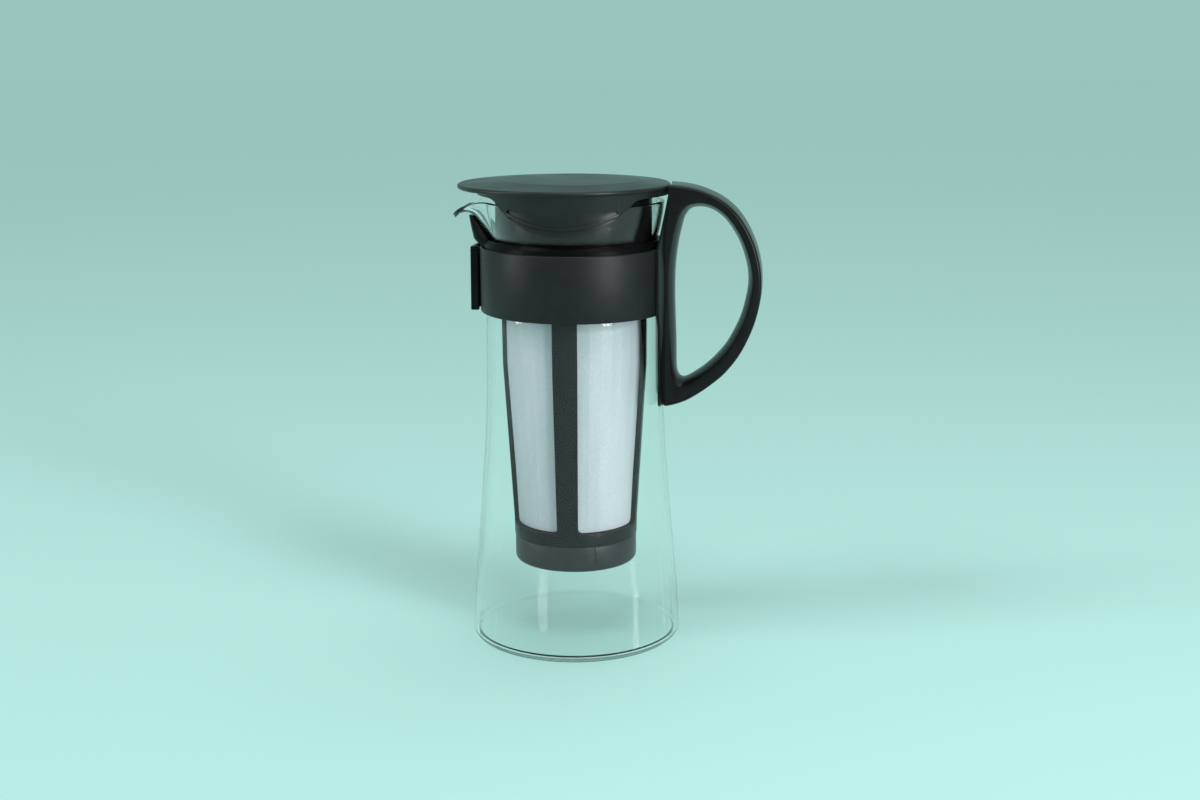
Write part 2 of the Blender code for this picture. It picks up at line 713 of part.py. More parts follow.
def handle_section(inner, outer):
    """Points round one section of the handle, from the hole's crowned edge to the outline."""
    inner = Vector(inner)
    outer = Vector(outer)
    length = (outer - inner).length
    half_width = HANDLE_HALF_WIDTH
    soft = HANDLE_EDGE * (1 - cos(pi / 4))
    stations = [(HANDLE_CROWN * share ** 2, half_width * share) for share in CROWN_SHARES]
    stations += [
        (HANDLE_CROWN + HANDLE_EDGE / 2, half_width),
        (length - HANDLE_EDGE, half_width),
        (length - soft, half_width - soft),
        (length, half_width - HANDLE_EDGE),
    ]
    near = []
    far = []
    for along, half in stations:
        spot = inner + (outer - inner) * (along / length)
        near.append((spot.x, -half, spot.y))
        far.append((spot.x, half, spot.y))
    return near + far[::-1]


def make_handle():
    def placed(shares):
        out, up = shares
        return (blend(HANDLE_BACK_X, HANDLE_REACH, out), blend(HANDLE_BOTTOM, HANDLE_TOP, up))

    inner_line = smooth_ring([placed(inner) for inner, outer in HANDLE_SECTION_SHARES], SECTION_STEPS)
    outer_line = smooth_ring([placed(outer) for inner, outer in HANDLE_SECTION_SHARES], SECTION_STEPS)
    bm = bmesh.new()
    sections = [handle_section(*ends) for ends in zip(inner_line, outer_line)]
    rings = [[bm.verts.new(point) for point in section] for section in sections]
    join_rings(bm, rings + rings[:1])
    handle = object_from_bmesh(bm, "handle")
    combine(handle, as_helper(make_root_wings()), "UNION")
    combine(handle, as_helper(make_jug_envelope()), "DIFFERENCE")
    groove_top = rail_bottom() + RAIL_HEIGHT + TOUCH_GAP
    groove_low = HANDLE_BOTTOM - CUT_OVERRUN
    groove = prism("rail_groove", rail_outline(TOUCH_GAP), groove_low, groove_top, upright, CUTTERS)
    combine(handle, as_helper(groove), "DIFFERENCE")
    smooth_with_sharp_edges(handle, HANDLE_SHARP_ANGLE)
    handle.data.materials.append(material("handle_plastic", BLACK_GLOSS, 0.22))
    return handle


def join_rings(bm, rings):
    """Quads between neighbouring rings of the same number of points."""
    for ring, after_ring in zip(rings, rings[1:]):
        count = len(ring)
        for index in range(count):
            after = (index + 1) % count
            bm.faces.new((ring[index], ring[after], after_ring[after], after_ring[index]))


def wing_plan(height, half_width, inset):
    """Plan of the root at one height: two wings that run back along the band to thin edges."""
    half_width -= inset
    edge = sqrt(envelope_radius(height) ** 2 - half_width ** 2) + ROOT_EDGE_WALL - inset / 2
    spread = (half_width - ROOT_WING_END) / (ROOT_HALF_WIDTH - ROOT_WING_END)
    front = edge + ROOT_WING_DEPTH * spread
    half = [(HANDLE_BACK_X + ROOT_BACK_INSET, half_width), (edge, half_width)]
    for forward, out in WING_CURVE_SHARES:
        half.append((blend(edge, front, forward), blend(ROOT_WING_END, half_width, out)))
    half += [(front, ROOT_WING_END), (front, ROOT_WING_END - ROOT_WING_SINK)]
    return half + [(x, -y) for x, y in half[::-1]]


def make_root_wings():
    """The broad back of the handle's root, from its foot up past the band."""
    foot = HANDLE_BOTTOM + ROOT_FOOT_LIFT
    band_top = BAND_BOTTOM + BAND_HEIGHT
    levels = [(foot + lift, ROOT_LOW_HALF_WIDTH, inset) for lift, inset in ROOT_FOOT_INSETS]
    levels += [
        (BAND_BOTTOM - ROOT_LOW_SPAN, ROOT_LOW_HALF_WIDTH, 0),
        (BAND_BOTTOM, ROOT_HALF_WIDTH, 0),
        (band_top, ROOT_HALF_WIDTH, 0),
        (HANDLE_TOP - ROOT_WING_TOP_DROP, ROOT_TOP_HALF_WIDTH, 0),
    ]
    bm = bmesh.new()
    rings = [
        [bm.verts.new((x, y, height)) for x, y in wing_plan(height, half_width, inset)]
        for height, half_width, inset in levels
    ]
    join_rings(bm, rings)
    bm.faces.new(rings[0])
    bm.faces.new(rings[-1])
    return object_from_bmesh(bm, "root_wings", CUTTERS)


def envelope_bends():
    """Radius and height of the space kept free for the band, the glass and the lid."""
    back = BAND_RADIUS + TOUCH_GAP
    top_radius = LID_BRIM_RADIUS + LID_BRIM_SHIFT + HANDLE_TOP_CLEARANCE
    band_top = BAND_BOTTOM + BAND_HEIGHT
    bend = (blend(back, top_radius, BACK_BEND_SHARES[0]), blend(band_top, LID_TOP, BACK_BEND_SHARES[1]))
    return [(back, band_top), bend, (top_radius, LID_TOP - LID_BRIM_DROP - LID_BRIM_EDGE * 2)]


def envelope_radius(height):
    bends = envelope_bends()
    for (radius, low), (after_radius, high) in zip(bends, bends[1:]):
        if height < high:
            return blend(radius, after_radius, max(0.0, (height - low) / (high - low)))
    return bends[-1][0]


def make_jug_envelope():
    """The turned space that the handle's root leaves to the glass, the band and the lid."""
    bends = envelope_bends()
    back = bends[0][0]
    top = HANDLE_TOP + CUT_OVERRUN
    profile = [(0, top), (bends[-1][0], top)] + bends[::-1] + [(back, HANDLE_BOTTOM + ROOT_FOOT_ROUND)]
    foot = (back + ROOT_FOOT_ROUND, HANDLE_BOTTOM + ROOT_FOOT_ROUND)
    profile += arc(foot, ROOT_FOOT_ROUND, pi, ROOT_FOOT_TURN, 2)[1:]
    profile += [(profile[-1][0], HANDLE_BOTTOM - CUT_OVERRUN), (0, HANDLE_BOTTOM - CUT_OVERRUN)]
    return turned("jug_envelope", profile, GLASS_SEGMENTS, CUTTERS)


# Lid

def plug_radius():
    """Outer radius of the plug under the lid, which fits in the strainer's cup."""
    return CUP_RADIUS - CUP_WALL - LOOSE_GAP


def lid_rows():
    """Circles of the lid's top shell, from the middle of the top round the edge to the underside."""
    brim_top = LID_TOP - LID_BRIM_DROP
    edge = LID_BRIM_EDGE / 2
    crease = LID_CREASE
    crease_shift = blend(LID_PLATEAU_SHIFT, LID_BRIM_SHIFT, CREASE_SHIFT_SHARE)
    rows = [
        (LID_PLATEAU_SHIFT, LID_PLATEAU_RADIUS - crease, LID_TOP),
        (LID_PLATEAU_SHIFT, LID_PLATEAU_RADIUS, LID_TOP - crease * CREASE_DROP_SHARES[0]),
        (crease_shift, LID_PLATEAU_RADIUS + crease, LID_TOP - crease * CREASE_DROP_SHARES[1]),
    ]
    for along, drop in arc((0, 0), edge, pi / 2, -pi / 2, 4):
        rows.append((LID_BRIM_SHIFT, LID_BRIM_RADIUS - edge + along, brim_top - edge + drop))
    rows.append((0, LID_WALL_RADIUS - LID_WALL_THICKNESS / 2, brim_top - LID_BRIM_EDGE))
    rows.append((0, plug_radius() - PLUG_WALL / 2, LID_TOP - LID_PLATE))
    return rows


def make_lid_shell():
    bm = bmesh.new()
    angles = [2 * pi * step / LID_SEGMENTS for step in range(LID_SEGMENTS)]
    rings = [
        [bm.verts.new((shift + radius * cos(angle), radius * sin(angle), height)) for angle in angles]
        for shift, radius, height in lid_rows()
    ]
    for upper, lower in zip(rings, rings[1:]):
        for index in range(LID_SEGMENTS):
            after = (index + 1) % LID_SEGMENTS
            bm.faces.new((lower[index], lower[after], upper[after], upper[index]))
    bm.faces.new(rings[0])
    bm.faces.new(rings[-1][::-1])
    return object_from_bmesh(bm, "lid")


def flap_outline():
    """The side view of both flaps: a hanging arc, two fillets and the low wall beside them."""
    wall_bottom = LID_TOP - LID_BRIM_DROP - LID_BRIM_EDGE - LID_WALL_DROP
    centre = FLAP_BOTTOM + FLAP_ARC_RADIUS
    fillet_centre = wall_bottom - FLAP_FILLET
    reach = sqrt((FLAP_ARC_RADIUS + FLAP_FILLET) ** 2 - (centre - fillet_centre) ** 2)
    turn = asin(reach / (FLAP_ARC_RADIUS + FLAP_FILLET))
    bottom = arc((0, centre), FLAP_ARC_RADIUS, -pi / 2 - turn, -pi / 2 + turn, FLAP_ARC_STEPS)
    right = arc((reach, fillet_centre), FLAP_FILLET, pi / 2 + turn, pi / 2, 3)[1:]
    left = [(-x, height) for x, height in right[::-1]]
    wide = LID_BRIM_RADIUS + CUT_OVERRUN
    high = LID_TOP - LID_BRIM_DROP
    under = left + bottom + right
    return [(-wide, high), (-wide, wall_bottom)] + under + [(wide, wall_bottom), (wide, high)]


def grip_outline():
    """The finger recess of a flap: a crescent with a straight top and an arc below."""
    half = GRIP_HALF_WIDTH
    end_height = GRIP_TOP - GRIP_ROUND
    sag = end_height - GRIP_BOTTOM
    radius = (half ** 2 + sag ** 2) / (2 * sag)
    turn = asin(half / radius)
    bottom = arc((0, GRIP_BOTTOM + radius), radius, -pi / 2 - turn, -pi / 2 + turn, FLAP_ARC_STEPS)
    right = arc((half - GRIP_ROUND, end_height), GRIP_ROUND, 0, pi / 2, 2)[1:]
    left = [(-x, height) for x, height in right[::-1]]
    return bottom + right + left


def groove_outline():
    """A thin arc under the finger recess, that sets off the lip at the flap's bottom edge."""
    half = GRIP_HALF_WIDTH * GROOVE_END_SHARE
    sag = GRIP_TOP - GRIP_ROUND - GRIP_BOTTOM
    radius = (GRIP_HALF_WIDTH ** 2 + sag ** 2) / (2 * sag)
    turn = asin(half / radius)
    centre = (0, GRIP_BOTTOM + radius)
    upper = arc(centre, radius + GROOVE_DROP, -pi / 2 - turn, -pi / 2 + turn, FLAP_ARC_STEPS)
    lower = arc(centre, radius + GROOVE_DROP + GROOVE_WIDTH, -pi / 2 + turn, -pi / 2 - turn, FLAP_ARC_STEPS)
    return upper + lower


def make_wall_cutter(name, outline, depth):
    """A cutter for both flaps that keeps to this depth below the wall's outer side."""
    reach = LID_WALL_RADIUS + CUT_OVERRUN
    cutter = prism(name, outline, -reach, reach, crosswise, CUTTERS)
    keep = LID_WALL_RADIUS - depth
    core = turned(
        name + "_core",
        [(0, LID_TOP), (keep, LID_TOP), (keep, FLAP_BOTTOM - CUT_OVERRUN), (0, FLAP_BOTTOM - CUT_OVERRUN)],
        LID_SEGMENTS,
        CUTTERS,
    )
    combine(cutter, as_helper(core), "DIFFERENCE")
    return as_helper(cutter)


def ring_outline(inner, outer, low, high):
    return [(outer, high), (outer, low), (inner, low), (inner, high)]


def make_lid():
    lid = make_lid_shell()
    wall_top = LID_TOP - LID_BRIM_DROP - LID_BRIM_EDGE / 2
    wall_inner = LID_WALL_RADIUS - LID_WALL_THICKNESS
    wall_profile = ring_outline(wall_inner, LID_WALL_RADIUS, FLAP_BOTTOM - CUT_OVERRUN, wall_top)
    wall = turned("lid_wall", wall_profile, LID_SEGMENTS, CUTTERS)
    reach = LID_BRIM_RADIUS + CUT_OVERRUN
    flaps = prism("flap_outline", flap_outline(), -reach, reach, crosswise, CUTTERS)
    combine(wall, as_helper(flaps), "INTERSECT")
    combine(lid, as_helper(wall), "UNION")
    plug_outer = plug_radius()
    ledge = CUP_TOP + TOUCH_GAP
    plug_top = LID_TOP - LID_PLATE / 2
    plug_profile = [
        (CUP_RADIUS, LID_TOP - LID_BRIM_DROP - LID_BRIM_EDGE / 2),
        (CUP_RADIUS, ledge),
        (plug_outer, ledge),
        (plug_outer, PLUG_BOTTOM),
        (plug_outer - PLUG_WALL, PLUG_BOTTOM),
        (plug_outer - PLUG_WALL, plug_top),
    ]
    plug = turned("lid_plug", plug_profile, FRAME_SEGMENTS, CUTTERS)
    combine(lid, as_helper(plug), "UNION")
    combine(lid, make_wall_cutter("finger_grips", grip_outline(), GRIP_DEPTH), "DIFFERENCE")
    combine(lid, make_wall_cutter("lip_grooves", groove_outline(), GROOVE_DEPTH), "DIFFERENCE")
    smooth_with_sharp_edges(lid, LID_SHARP_ANGLE)
    lid.data.materials.append(material("lid_plastic", BLACK_SATIN, 0.34))
    return lid


# Strainer

def frame_radius(height):
    """Outer radius of the strainer's frame at this height."""
    share = (height - FRAME_BOTTOM) / (FRAME_BEND_HEIGHT - FRAME_BOTTOM)
    share = min(1.0, max(0.0, share))
    for (low, low_grow), (high, high_grow) in zip(FRAME_TAPER_SHARES, FRAME_TAPER_SHARES[1:]):
        if share <= high:
            grow = blend(low_grow, high_grow, (share - low) / (high - low))
            return blend(FRAME_BOTTOM_RADIUS, FRAME_TOP_RADIUS, grow)
    return FRAME_TOP_RADIUS


def frame_heights():
    span = FRAME_BEND_HEIGHT - FRAME_BOTTOM
    return [FRAME_BOTTOM + span * share for share, grow in FRAME_TAPER_SHARES]


def frame_profile():
    """Cross-section of the frame with its cup, tube and spigot: down the outside, up the inside.
    The cup's seat rests on the inside of the glass's flare, so its radius follows the glass."""
    seat_radius = glass_radius_at(CUP_SEAT) - GLASS_WALL - TOUCH_GAP
    outer = [
        (CUP_RADIUS, CUP_TOP),
        (CUP_RADIUS, CUP_FOOT),
        (seat_radius, CUP_SEAT),
        (TUBE_RADIUS, CUP_SEAT - SEAT_DROP),
        (TUBE_RADIUS, WINDOW_TOP),
    ]
    outer += [(frame_radius(height), height) for height in frame_heights()[::-1]]
    outer += [(SPIGOT_RADIUS, FRAME_BOTTOM), (SPIGOT_RADIUS, FRAME_BOTTOM - SPIGOT_DEPTH)]
    spigot_inner = SPIGOT_RADIUS - SPIGOT_WALL
    inner = [(spigot_inner, FRAME_BOTTOM - SPIGOT_DEPTH), (spigot_inner, FRAME_BOTTOM)]
    inner += [(frame_radius(height) - FRAME_WALL, height) for height in frame_heights()[2:]]
    inner += [
        (TUBE_RADIUS - TUBE_WALL, WINDOW_TOP),
        (TUBE_RADIUS - CUP_WALL, CUP_SEAT),
        (CUP_RADIUS - CUP_WALL, CUP_FOOT),
        (CUP_RADIUS - CUP_WALL, CUP_TOP),
    ]
    return outer + inner


def window_angles(index, shrink):
    """Start and end angle of a window, between two ribs that lie on the X and Y axes."""
    pitch = 2 * pi / WINDOW_COUNT
    return (index * pitch + RIB_HALF_ANGLE + shrink, (index + 1) * pitch - RIB_HALF_ANGLE - shrink)


def window_block(name, index, rows, shrink, group):
    """A block swept between two ribs: rows of (inner radius, outer radius, height) from the bottom."""
    start, end = window_angles(index, shrink)
    outline = [(inner, height) for inner, outer, height in rows]
    outline += [(outer, height) for inner, outer, height in rows[::-1]]
    block = turned_block(name, outline, start, end, WINDOW_STEPS, group)
    round_window_corners(block, start, end)
    return block


def round_window_corners(block, start, end):
    """Rounds the four corners of a window block, whose edges run outwards from the axis."""
    heights = [vert.co.z for vert in block.data.vertices]
    low, high = min(heights), max(heights)
    weight = block.data.attributes.new("bevel_weight_edge", "FLOAT", "EDGE")
    for edge in block.data.edges:
        ends = [block.data.vertices[index].co for index in edge.vertices]
        middle = (ends[0] + ends[1]) / 2
        flat = abs(ends[0].z - ends[1].z) < SAME_LEVEL
        at_end = min(middle.z - low, high - middle.z) < SAME_LEVEL
        outwards = ends[0].xy.angle(ends[1].xy, 0.0) < SAME_ANGLE
        at_side = min(angle_apart(middle, start), angle_apart(middle, end)) < SAME_ANGLE
        if flat and at_end and outwards and at_side:
            weight.data[edge.index].value = 1.0
    bevel = block.modifiers.new("round_corners", "BEVEL")
    bevel.width = WINDOW_CORNER
    bevel.segments = 2
    bevel.limit_method = "WEIGHT"


def angle_apart(point, angle):
    direction = Vector((cos(angle), sin(angle)))
    return direction.angle(point.xy, 0.0)


def make_frame(group):
    frame = turned("strainer_frame", frame_profile(), FRAME_SEGMENTS)
    wide_rows = [
        (FRAME_BOTTOM_RADIUS - FRAME_WALL * 2, FRAME_TOP_RADIUS + CUT_OVERRUN, height)
        for height in (WINDOW_BOTTOM, WINDOW_TOP)
    ]
    for index in range(WINDOW_COUNT):
        cutter = window_block("window_%d" % index, index, wide_rows, 0.0, CUTTERS)
        combine(frame, as_helper(cutter), "DIFFERENCE")
    for index in range(CATCH_COUNT):
        middle = CATCH_START + index * 2 * pi / CATCH_COUNT
        low = catch_bottom()
        root = SPIGOT_RADIUS - SPIGOT_WALL / 2
        outline = ring_outline(root, SPIGOT_RADIUS + CATCH_REACH, low, low + CATCH_HEIGHT)
        catch = turned_block(
            "catch_%d" % index, outline, middle - CATCH_HALF_ANGLE, middle + CATCH_HALF_ANGLE, 3, CUTTERS
        )
        combine(frame, as_helper(catch), "UNION")
    smooth_with_sharp_edges(frame)
    frame.data.materials.append(material("frame_plastic", BLACK_SATIN, 0.36))
    frame.parent = group
    return frame


def catch_bottom():
    """The catches lie just under the cap's lip."""
    return FRAME_BOTTOM - TOUCH_GAP - CAP_LIP - TOUCH_GAP - CATCH_HEIGHT


def make_mesh_panels(group):
    finish = material("mesh_fabric", PALE_MESH, 0.6, alpha=0.5)
    shrink = TOUCH_GAP / FRAME_TOP_RADIUS
    low = WINDOW_BOTTOM + TOUCH_GAP
    high = WINDOW_TOP - TOUCH_GAP
    clear = WINDOW_CORNER + TOUCH_GAP
    heights = [low] + [height for height in frame_heights() if low + clear < height < high - clear] + [high]
    rows = [
        (frame_radius(height) - MESH_RECESS - MESH_THICKNESS, frame_radius(height) - MESH_RECESS, height)
        for height in heights
    ]
    labels = ("rear_right", "rear_left", "front_left", "front_right")
    for index, label in enumerate(labels):
        panel = window_block("mesh_panel_" + label, index, rows, shrink, None)
        smooth_with_sharp_edges(panel)
        panel.data.materials.append(finish)
        panel.parent = group


def make_cap(group):
    """A cup whose inner lip has a notch for each catch of the frame, a part turn away."""
    lip_top = FRAME_BOTTOM - TOUCH_GAP
    lip_bottom = lip_top - CAP_LIP
    lip_inner = CAP_RADIUS - CAP_LIP_WALL
    wall_inner = CAP_RADIUS - CAP_WALL
    floor_top = CAP_BOTTOM + CAP_FLOOR
    profile = [
        (0, floor_top),
        (wall_inner, floor_top),
        (wall_inner, lip_bottom),
        (lip_inner, lip_bottom),
        (lip_inner, lip_top),
        (CAP_RADIUS, lip_top),
    ]
    profile += arc((CAP_RADIUS - CAP_CORNER, CAP_BOTTOM + CAP_CORNER), CAP_CORNER, 0, -pi / 2, 3)
    profile += [(0, CAP_BOTTOM)]
    cap = turned("strainer_cap", profile, FRAME_SEGMENTS)
    below = lip_bottom - CUT_OVERRUN
    above = lip_top + CUT_OVERRUN
    for index in range(CATCH_COUNT):
        middle = CATCH_START + index * 2 * pi / CATCH_COUNT - CATCH_TURN
        half = CATCH_HALF_ANGLE + NOTCH_MARGIN
        outline = ring_outline(lip_inner - CUT_OVERRUN, wall_inner, below, above)
        notch = turned_block("notch_%d" % index, outline, middle - half, middle + half, 4, CUTTERS)
        combine(cap, as_helper(notch), "DIFFERENCE")
    mark_low = CAP_BOTTOM + CAP_CORNER * 2
    mark_high = lip_top - CAP_CORNER / 2
    mark_outline = ring_outline(CAP_RADIUS - CAP_WALL / 2, CAP_RADIUS + MARK_PROUD, mark_low, mark_high)
    mark_start = MARK_ANGLE - MARK_HALF_ANGLE
    mark = turned_block("turn_mark", mark_outline, mark_start, mark_start + 2 * MARK_HALF_ANGLE, 1, CUTTERS)
    combine(cap, as_helper(mark), "UNION")
    smooth_with_sharp_edges(cap)
    cap.data.materials.append(material("cap_plastic", BLACK_SATIN, 0.36))
    cap.parent = group
    return cap


def main():
    jug_axis = group_empty("jug_axis")
    strainer_axis = group_empty("strainer_axis", parent=jug_axis)
    lid_axis = group_empty("lid_axis", parent=strainer_axis)
    cap_axis = group_empty("cap_axis", parent=strainer_axis)
    for piece in (make_glass(), make_band(), make_clip(), make_liner(), make_handle()):
        piece.parent = jug_axis
    make_lid().parent = lid_axis
    make_frame(strainer_axis)
    make_mesh_panels(strainer_axis)
    make_cap(cap_axis)


main()
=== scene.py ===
from math import asin, cos, pi, radians, sin, sqrt

import bmesh
import bpy
from mathutils import Matrix, Vector


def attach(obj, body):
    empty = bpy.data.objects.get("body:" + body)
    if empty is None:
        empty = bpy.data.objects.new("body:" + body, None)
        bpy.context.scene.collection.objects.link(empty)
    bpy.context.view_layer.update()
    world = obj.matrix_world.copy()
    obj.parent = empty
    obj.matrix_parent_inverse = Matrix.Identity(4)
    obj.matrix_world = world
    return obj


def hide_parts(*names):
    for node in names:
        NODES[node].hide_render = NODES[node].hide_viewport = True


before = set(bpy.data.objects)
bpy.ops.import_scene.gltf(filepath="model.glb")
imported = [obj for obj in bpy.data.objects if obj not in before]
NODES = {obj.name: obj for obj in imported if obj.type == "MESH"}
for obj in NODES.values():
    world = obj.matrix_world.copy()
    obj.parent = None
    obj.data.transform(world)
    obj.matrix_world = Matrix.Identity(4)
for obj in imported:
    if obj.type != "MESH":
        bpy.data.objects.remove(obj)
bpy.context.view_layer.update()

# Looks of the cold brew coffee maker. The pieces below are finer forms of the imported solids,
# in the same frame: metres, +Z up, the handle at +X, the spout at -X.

# Camera, fitted to the photograph's 1200 by 800 frame
CAMERA_PLACE = (0.1052, -0.7503, 0.2795)
CAMERA_AIM = (-0.1207, 0.9688, -0.2164)
CAMERA_ROLL = radians(0.22)
CAMERA_LENS = 50.0

# Fits between pieces
TOUCH_GAP = 0.0003
CUT_OVERRUN = 0.002
MERGE_DISTANCE = 0.00001
SOFT_EDGE_ANGLE = radians(35)
FINISHED_SHARP_ANGLE = radians(40)
REFINED_EDGE_ANGLE = radians(32)
CUT_JOIN_ANGLE = radians(0.2)
SOLID_JOIN_ANGLE = radians(0.8)
LINER_EDGE_ANGLE = radians(35)
ROUNDED_EDGE_ANGLE = radians(38)
RIM_EDGE_ANGLE = radians(50)
GLASS_SHARP_ANGLE = radians(60)
BAND_ROUNDING = 0.0003
CLIP_ROUNDING = 0.0002
LINER_ROUNDING = 0.0003
HANDLE_ROUNDING = 0.0003
LID_ROUNDING = 0.00022
STRAINER_ROUNDING = 0.00025

# Glass jug, outer surface
BASE_RADIUS = 0.049
BASE_CORNER = 0.0038
BODY_TOP_RADIUS = 0.0404
WAIST_RADIUS = 0.0366
MOUTH_RADIUS = 0.0413
GLASS_HEIGHT = 0.2044
WAIST_HEIGHT = 0.1745
BODY_TOP_HEIGHT = 0.1500
GLASS_WALL = 0.0020
GLASS_FLOOR = 0.0032
RIM_ROUND_SHARE = 0.42
BODY_DRAW_SHARES = (
    (0.14, 0.12), (0.30, 0.36), (0.48, 0.63), (0.66, 0.86), (0.83, 0.97), (1.0, 1.0),
)
FLARE_SHARES = (
    (0.0, 0.0), (0.22, 0.04), (0.39, 0.20), (0.51, 0.44),
    (0.64, 0.65), (0.76, 0.80), (0.88, 0.92), (1.0, 1.0),
)
SPOUT_REACH = 0.0545
SPOUT_TIP_HEIGHT = 0.1960
SPOUT_CREST_HEIGHT = 0.1993
SPOUT_HALF_ANGLE = radians(29)
SPOUT_DROP_POWER = 2.1
SPOUT_LINE_SHARES = (
    (0.0, 0.0), (0.01, 0.26), (0.06, 0.49), (0.19, 0.65), (0.385, 0.85), (0.58, 0.99), (0.80, 0.97),
)
GLASS_COLUMNS = 192
SPOUT_COLUMNS = 64
CORNER_STEPS = 8
ROW_STEPS = 4
QUARTERS = (0.25, 0.5, 0.75)

# Band and liner
BAND_BOTTOM = 0.1545
BAND_HEIGHT = 0.0298
BAND_RADIUS = 0.0429
BAND_WALL = 0.0016
BAND_TOP = BAND_BOTTOM + BAND_HEIGHT
RAIL_DEPTH = 0.0021
RAIL_ROOT_WIDTH = 0.0080
RAIL_TIP_WIDTH = 0.0100
RAIL_HEIGHT = 0.0230
RAIL_LIFT = 0.0030
LINER_LIFT = 0.0035
LINER_LIP_RISE = 0.0032
LINER_LIP_WALL = 0.0013
LINER_BULGE_SHARE = 0.33
LINER_ROWS = 16
LINER_SEGMENTS = 144
TONGUE_STEPS = 20
TONGUE_TOP = 0.1974
TONGUE_FOOT_RADIUS = 0.0437
TONGUE_TOP_RADIUS = 0.0483
TONGUE_FOOT_ANGLE = radians(25)
TONGUE_TOP_ANGLE = radians(4)
TONGUE_TAPER_POWER = 0.75
TONGUE_LEAN_SHARES = (0.0, 0.48, 0.62, 0.74, 0.84, 0.93, 1.0)

# Handle
HANDLE_REACH = 0.0858
HANDLE_TOP = 0.2125
HANDLE_BOTTOM = 0.1118
HANDLE_BACK_X = 0.0362
HANDLE_HALF_WIDTH = 0.0110
HANDLE_CROWN = 0.0026
HANDLE_EDGE = 0.0016
HANDLE_TOP_CLEARANCE = 0.0012
HANDLE_SECTION_SHARES = (
    ((0.2207, 0.287), (0.0001, 0.299)),
    ((0.2102, 0.427), (0.0001, 0.437)),
    ((0.2059, 0.552), (0.0001, 0.559)),
    ((0.2146, 0.655), (0.0001, 0.675)),
    ((0.2408, 0.749), (0.0001, 0.797)),
    ((0.2775, 0.829), (0.0001, 0.929)),
    ((0.3037, 0.862), (0.0191, 1.0005)),
    ((0.3492, 0.889), (0.1827, 1.000)),
    ((0.4156, 0.898), (0.3494, 0.990)),
    ((0.4906, 0.895), (0.5110, 0.965)),
    ((0.5815, 0.876), (0.6708, 0.922)),
    ((0.6812, 0.832), (0.8095, 0.853)),
    ((0.7825, 0.754), (0.9219, 0.752)),
    ((0.8490, 0.663), (0.9831, 0.650)),
    ((0.8734, 0.580), (1.0000, 0.562)),
    ((0.8560, 0.502), (0.9860, 0.473)),
    ((0.8017, 0.402), (0.9284, 0.366)),
    ((0.6969, 0.296), (0.8240, 0.254)),
    ((0.5885, 0.227), (0.6939, 0.166)),
    ((0.4785, 0.176), (0.5655, 0.108)),
    ((0.3718, 0.139), (0.4354, 0.061)),
    ((0.3089, 0.122), (0.3071, 0.025)),
    ((0.2723, 0.120), (0.1615, 0.003)),
    ((0.2425, 0.134), (0.0191, 0.000)),
    ((0.2251, 0.173), (0.0001, 0.096)),
)
SECTION_STEPS = 6
CROWN_STEPS = 9
EDGE_STEPS = 4
BACK_BEND_SHARES = (0.45, 0.40)
ROOT_FOOT_TURN = radians(243)
ROOT_FOOT_ROUND = 0.0024
ROOT_HALF_WIDTH = 0.0178
ROOT_LOW_HALF_WIDTH = 0.0163
ROOT_TOP_HALF_WIDTH = 0.0108
ROOT_LOW_SPAN = 0.0070
ROOT_BACK_INSET = 0.0008
ROOT_FOOT_LIFT = 0.0011
ROOT_EDGE_WALL = 0.0009
ROOT_WING_DEPTH = 0.0034
ROOT_WING_END = 0.0094
ROOT_WING_SINK = 0.0020
ROOT_WING_TOP_DROP = 0.0035
ROOT_FOOT_INSETS = ((0.0, 0.0010), (0.0004, 0.0003), (0.0012, 0.0))
WING_CURVE_SHARES = ((0.14, 0.83), (0.33, 0.61), (0.50, 0.42), (0.67, 0.27), (0.85, 0.12))

# Lid
CUP_TOP = 0.2058
CUP_RADIUS = 0.0357
CUP_WALL = 0.0016
LOOSE_GAP = 0.0008
LID_TOP = 0.2140
LID_PLATE = 0.0020
LID_BRIM_DROP = 0.0015
LID_BRIM_EDGE = 0.0022
LID_BRIM_RADIUS = 0.0483
LID_BRIM_SHIFT = -0.0043
LID_PLATEAU_RADIUS = 0.0314
LID_PLATEAU_SHIFT = -0.0012
LID_CREASE = 0.0016
CREASE_DROP_SHARES = (0.06, 0.22)
CREASE_SHIFT_SHARE = 0.1
LID_SEGMENTS = 144
LID_WALL_RADIUS = 0.0436
LID_WALL_THICKNESS = 0.0018
LID_WALL_DROP = 0.0024
PLUG_WALL = 0.0015
PLUG_BOTTOM = 0.1975
FLAP_BOTTOM = 0.1923
FLAP_ARC_RADIUS = 0.0400
FLAP_FILLET = 0.0070
FLAP_ARC_STEPS = 40
GRIP_DEPTH = 0.0010
GRIP_TOP = 0.2037
GRIP_BOTTOM = 0.1967
GRIP_HALF_WIDTH = 0.0245
GRIP_ROUND = 0.0014
GROOVE_DROP = 0.0009
GROOVE_WIDTH = 0.0009
GROOVE_DEPTH = 0.0006
GROOVE_END_SHARE = 0.92


def blend(low, high, share):
    return low + (high - low) * share


def arc(centre, radius, start, end, steps):
    """Points of an arc in a plane, angles from the first axis."""
    return [
        (centre[0] + radius * cos(blend(start, end, step / steps)),
         centre[1] + radius * sin(blend(start, end, step / steps)))
        for step in range(steps + 1)
    ]


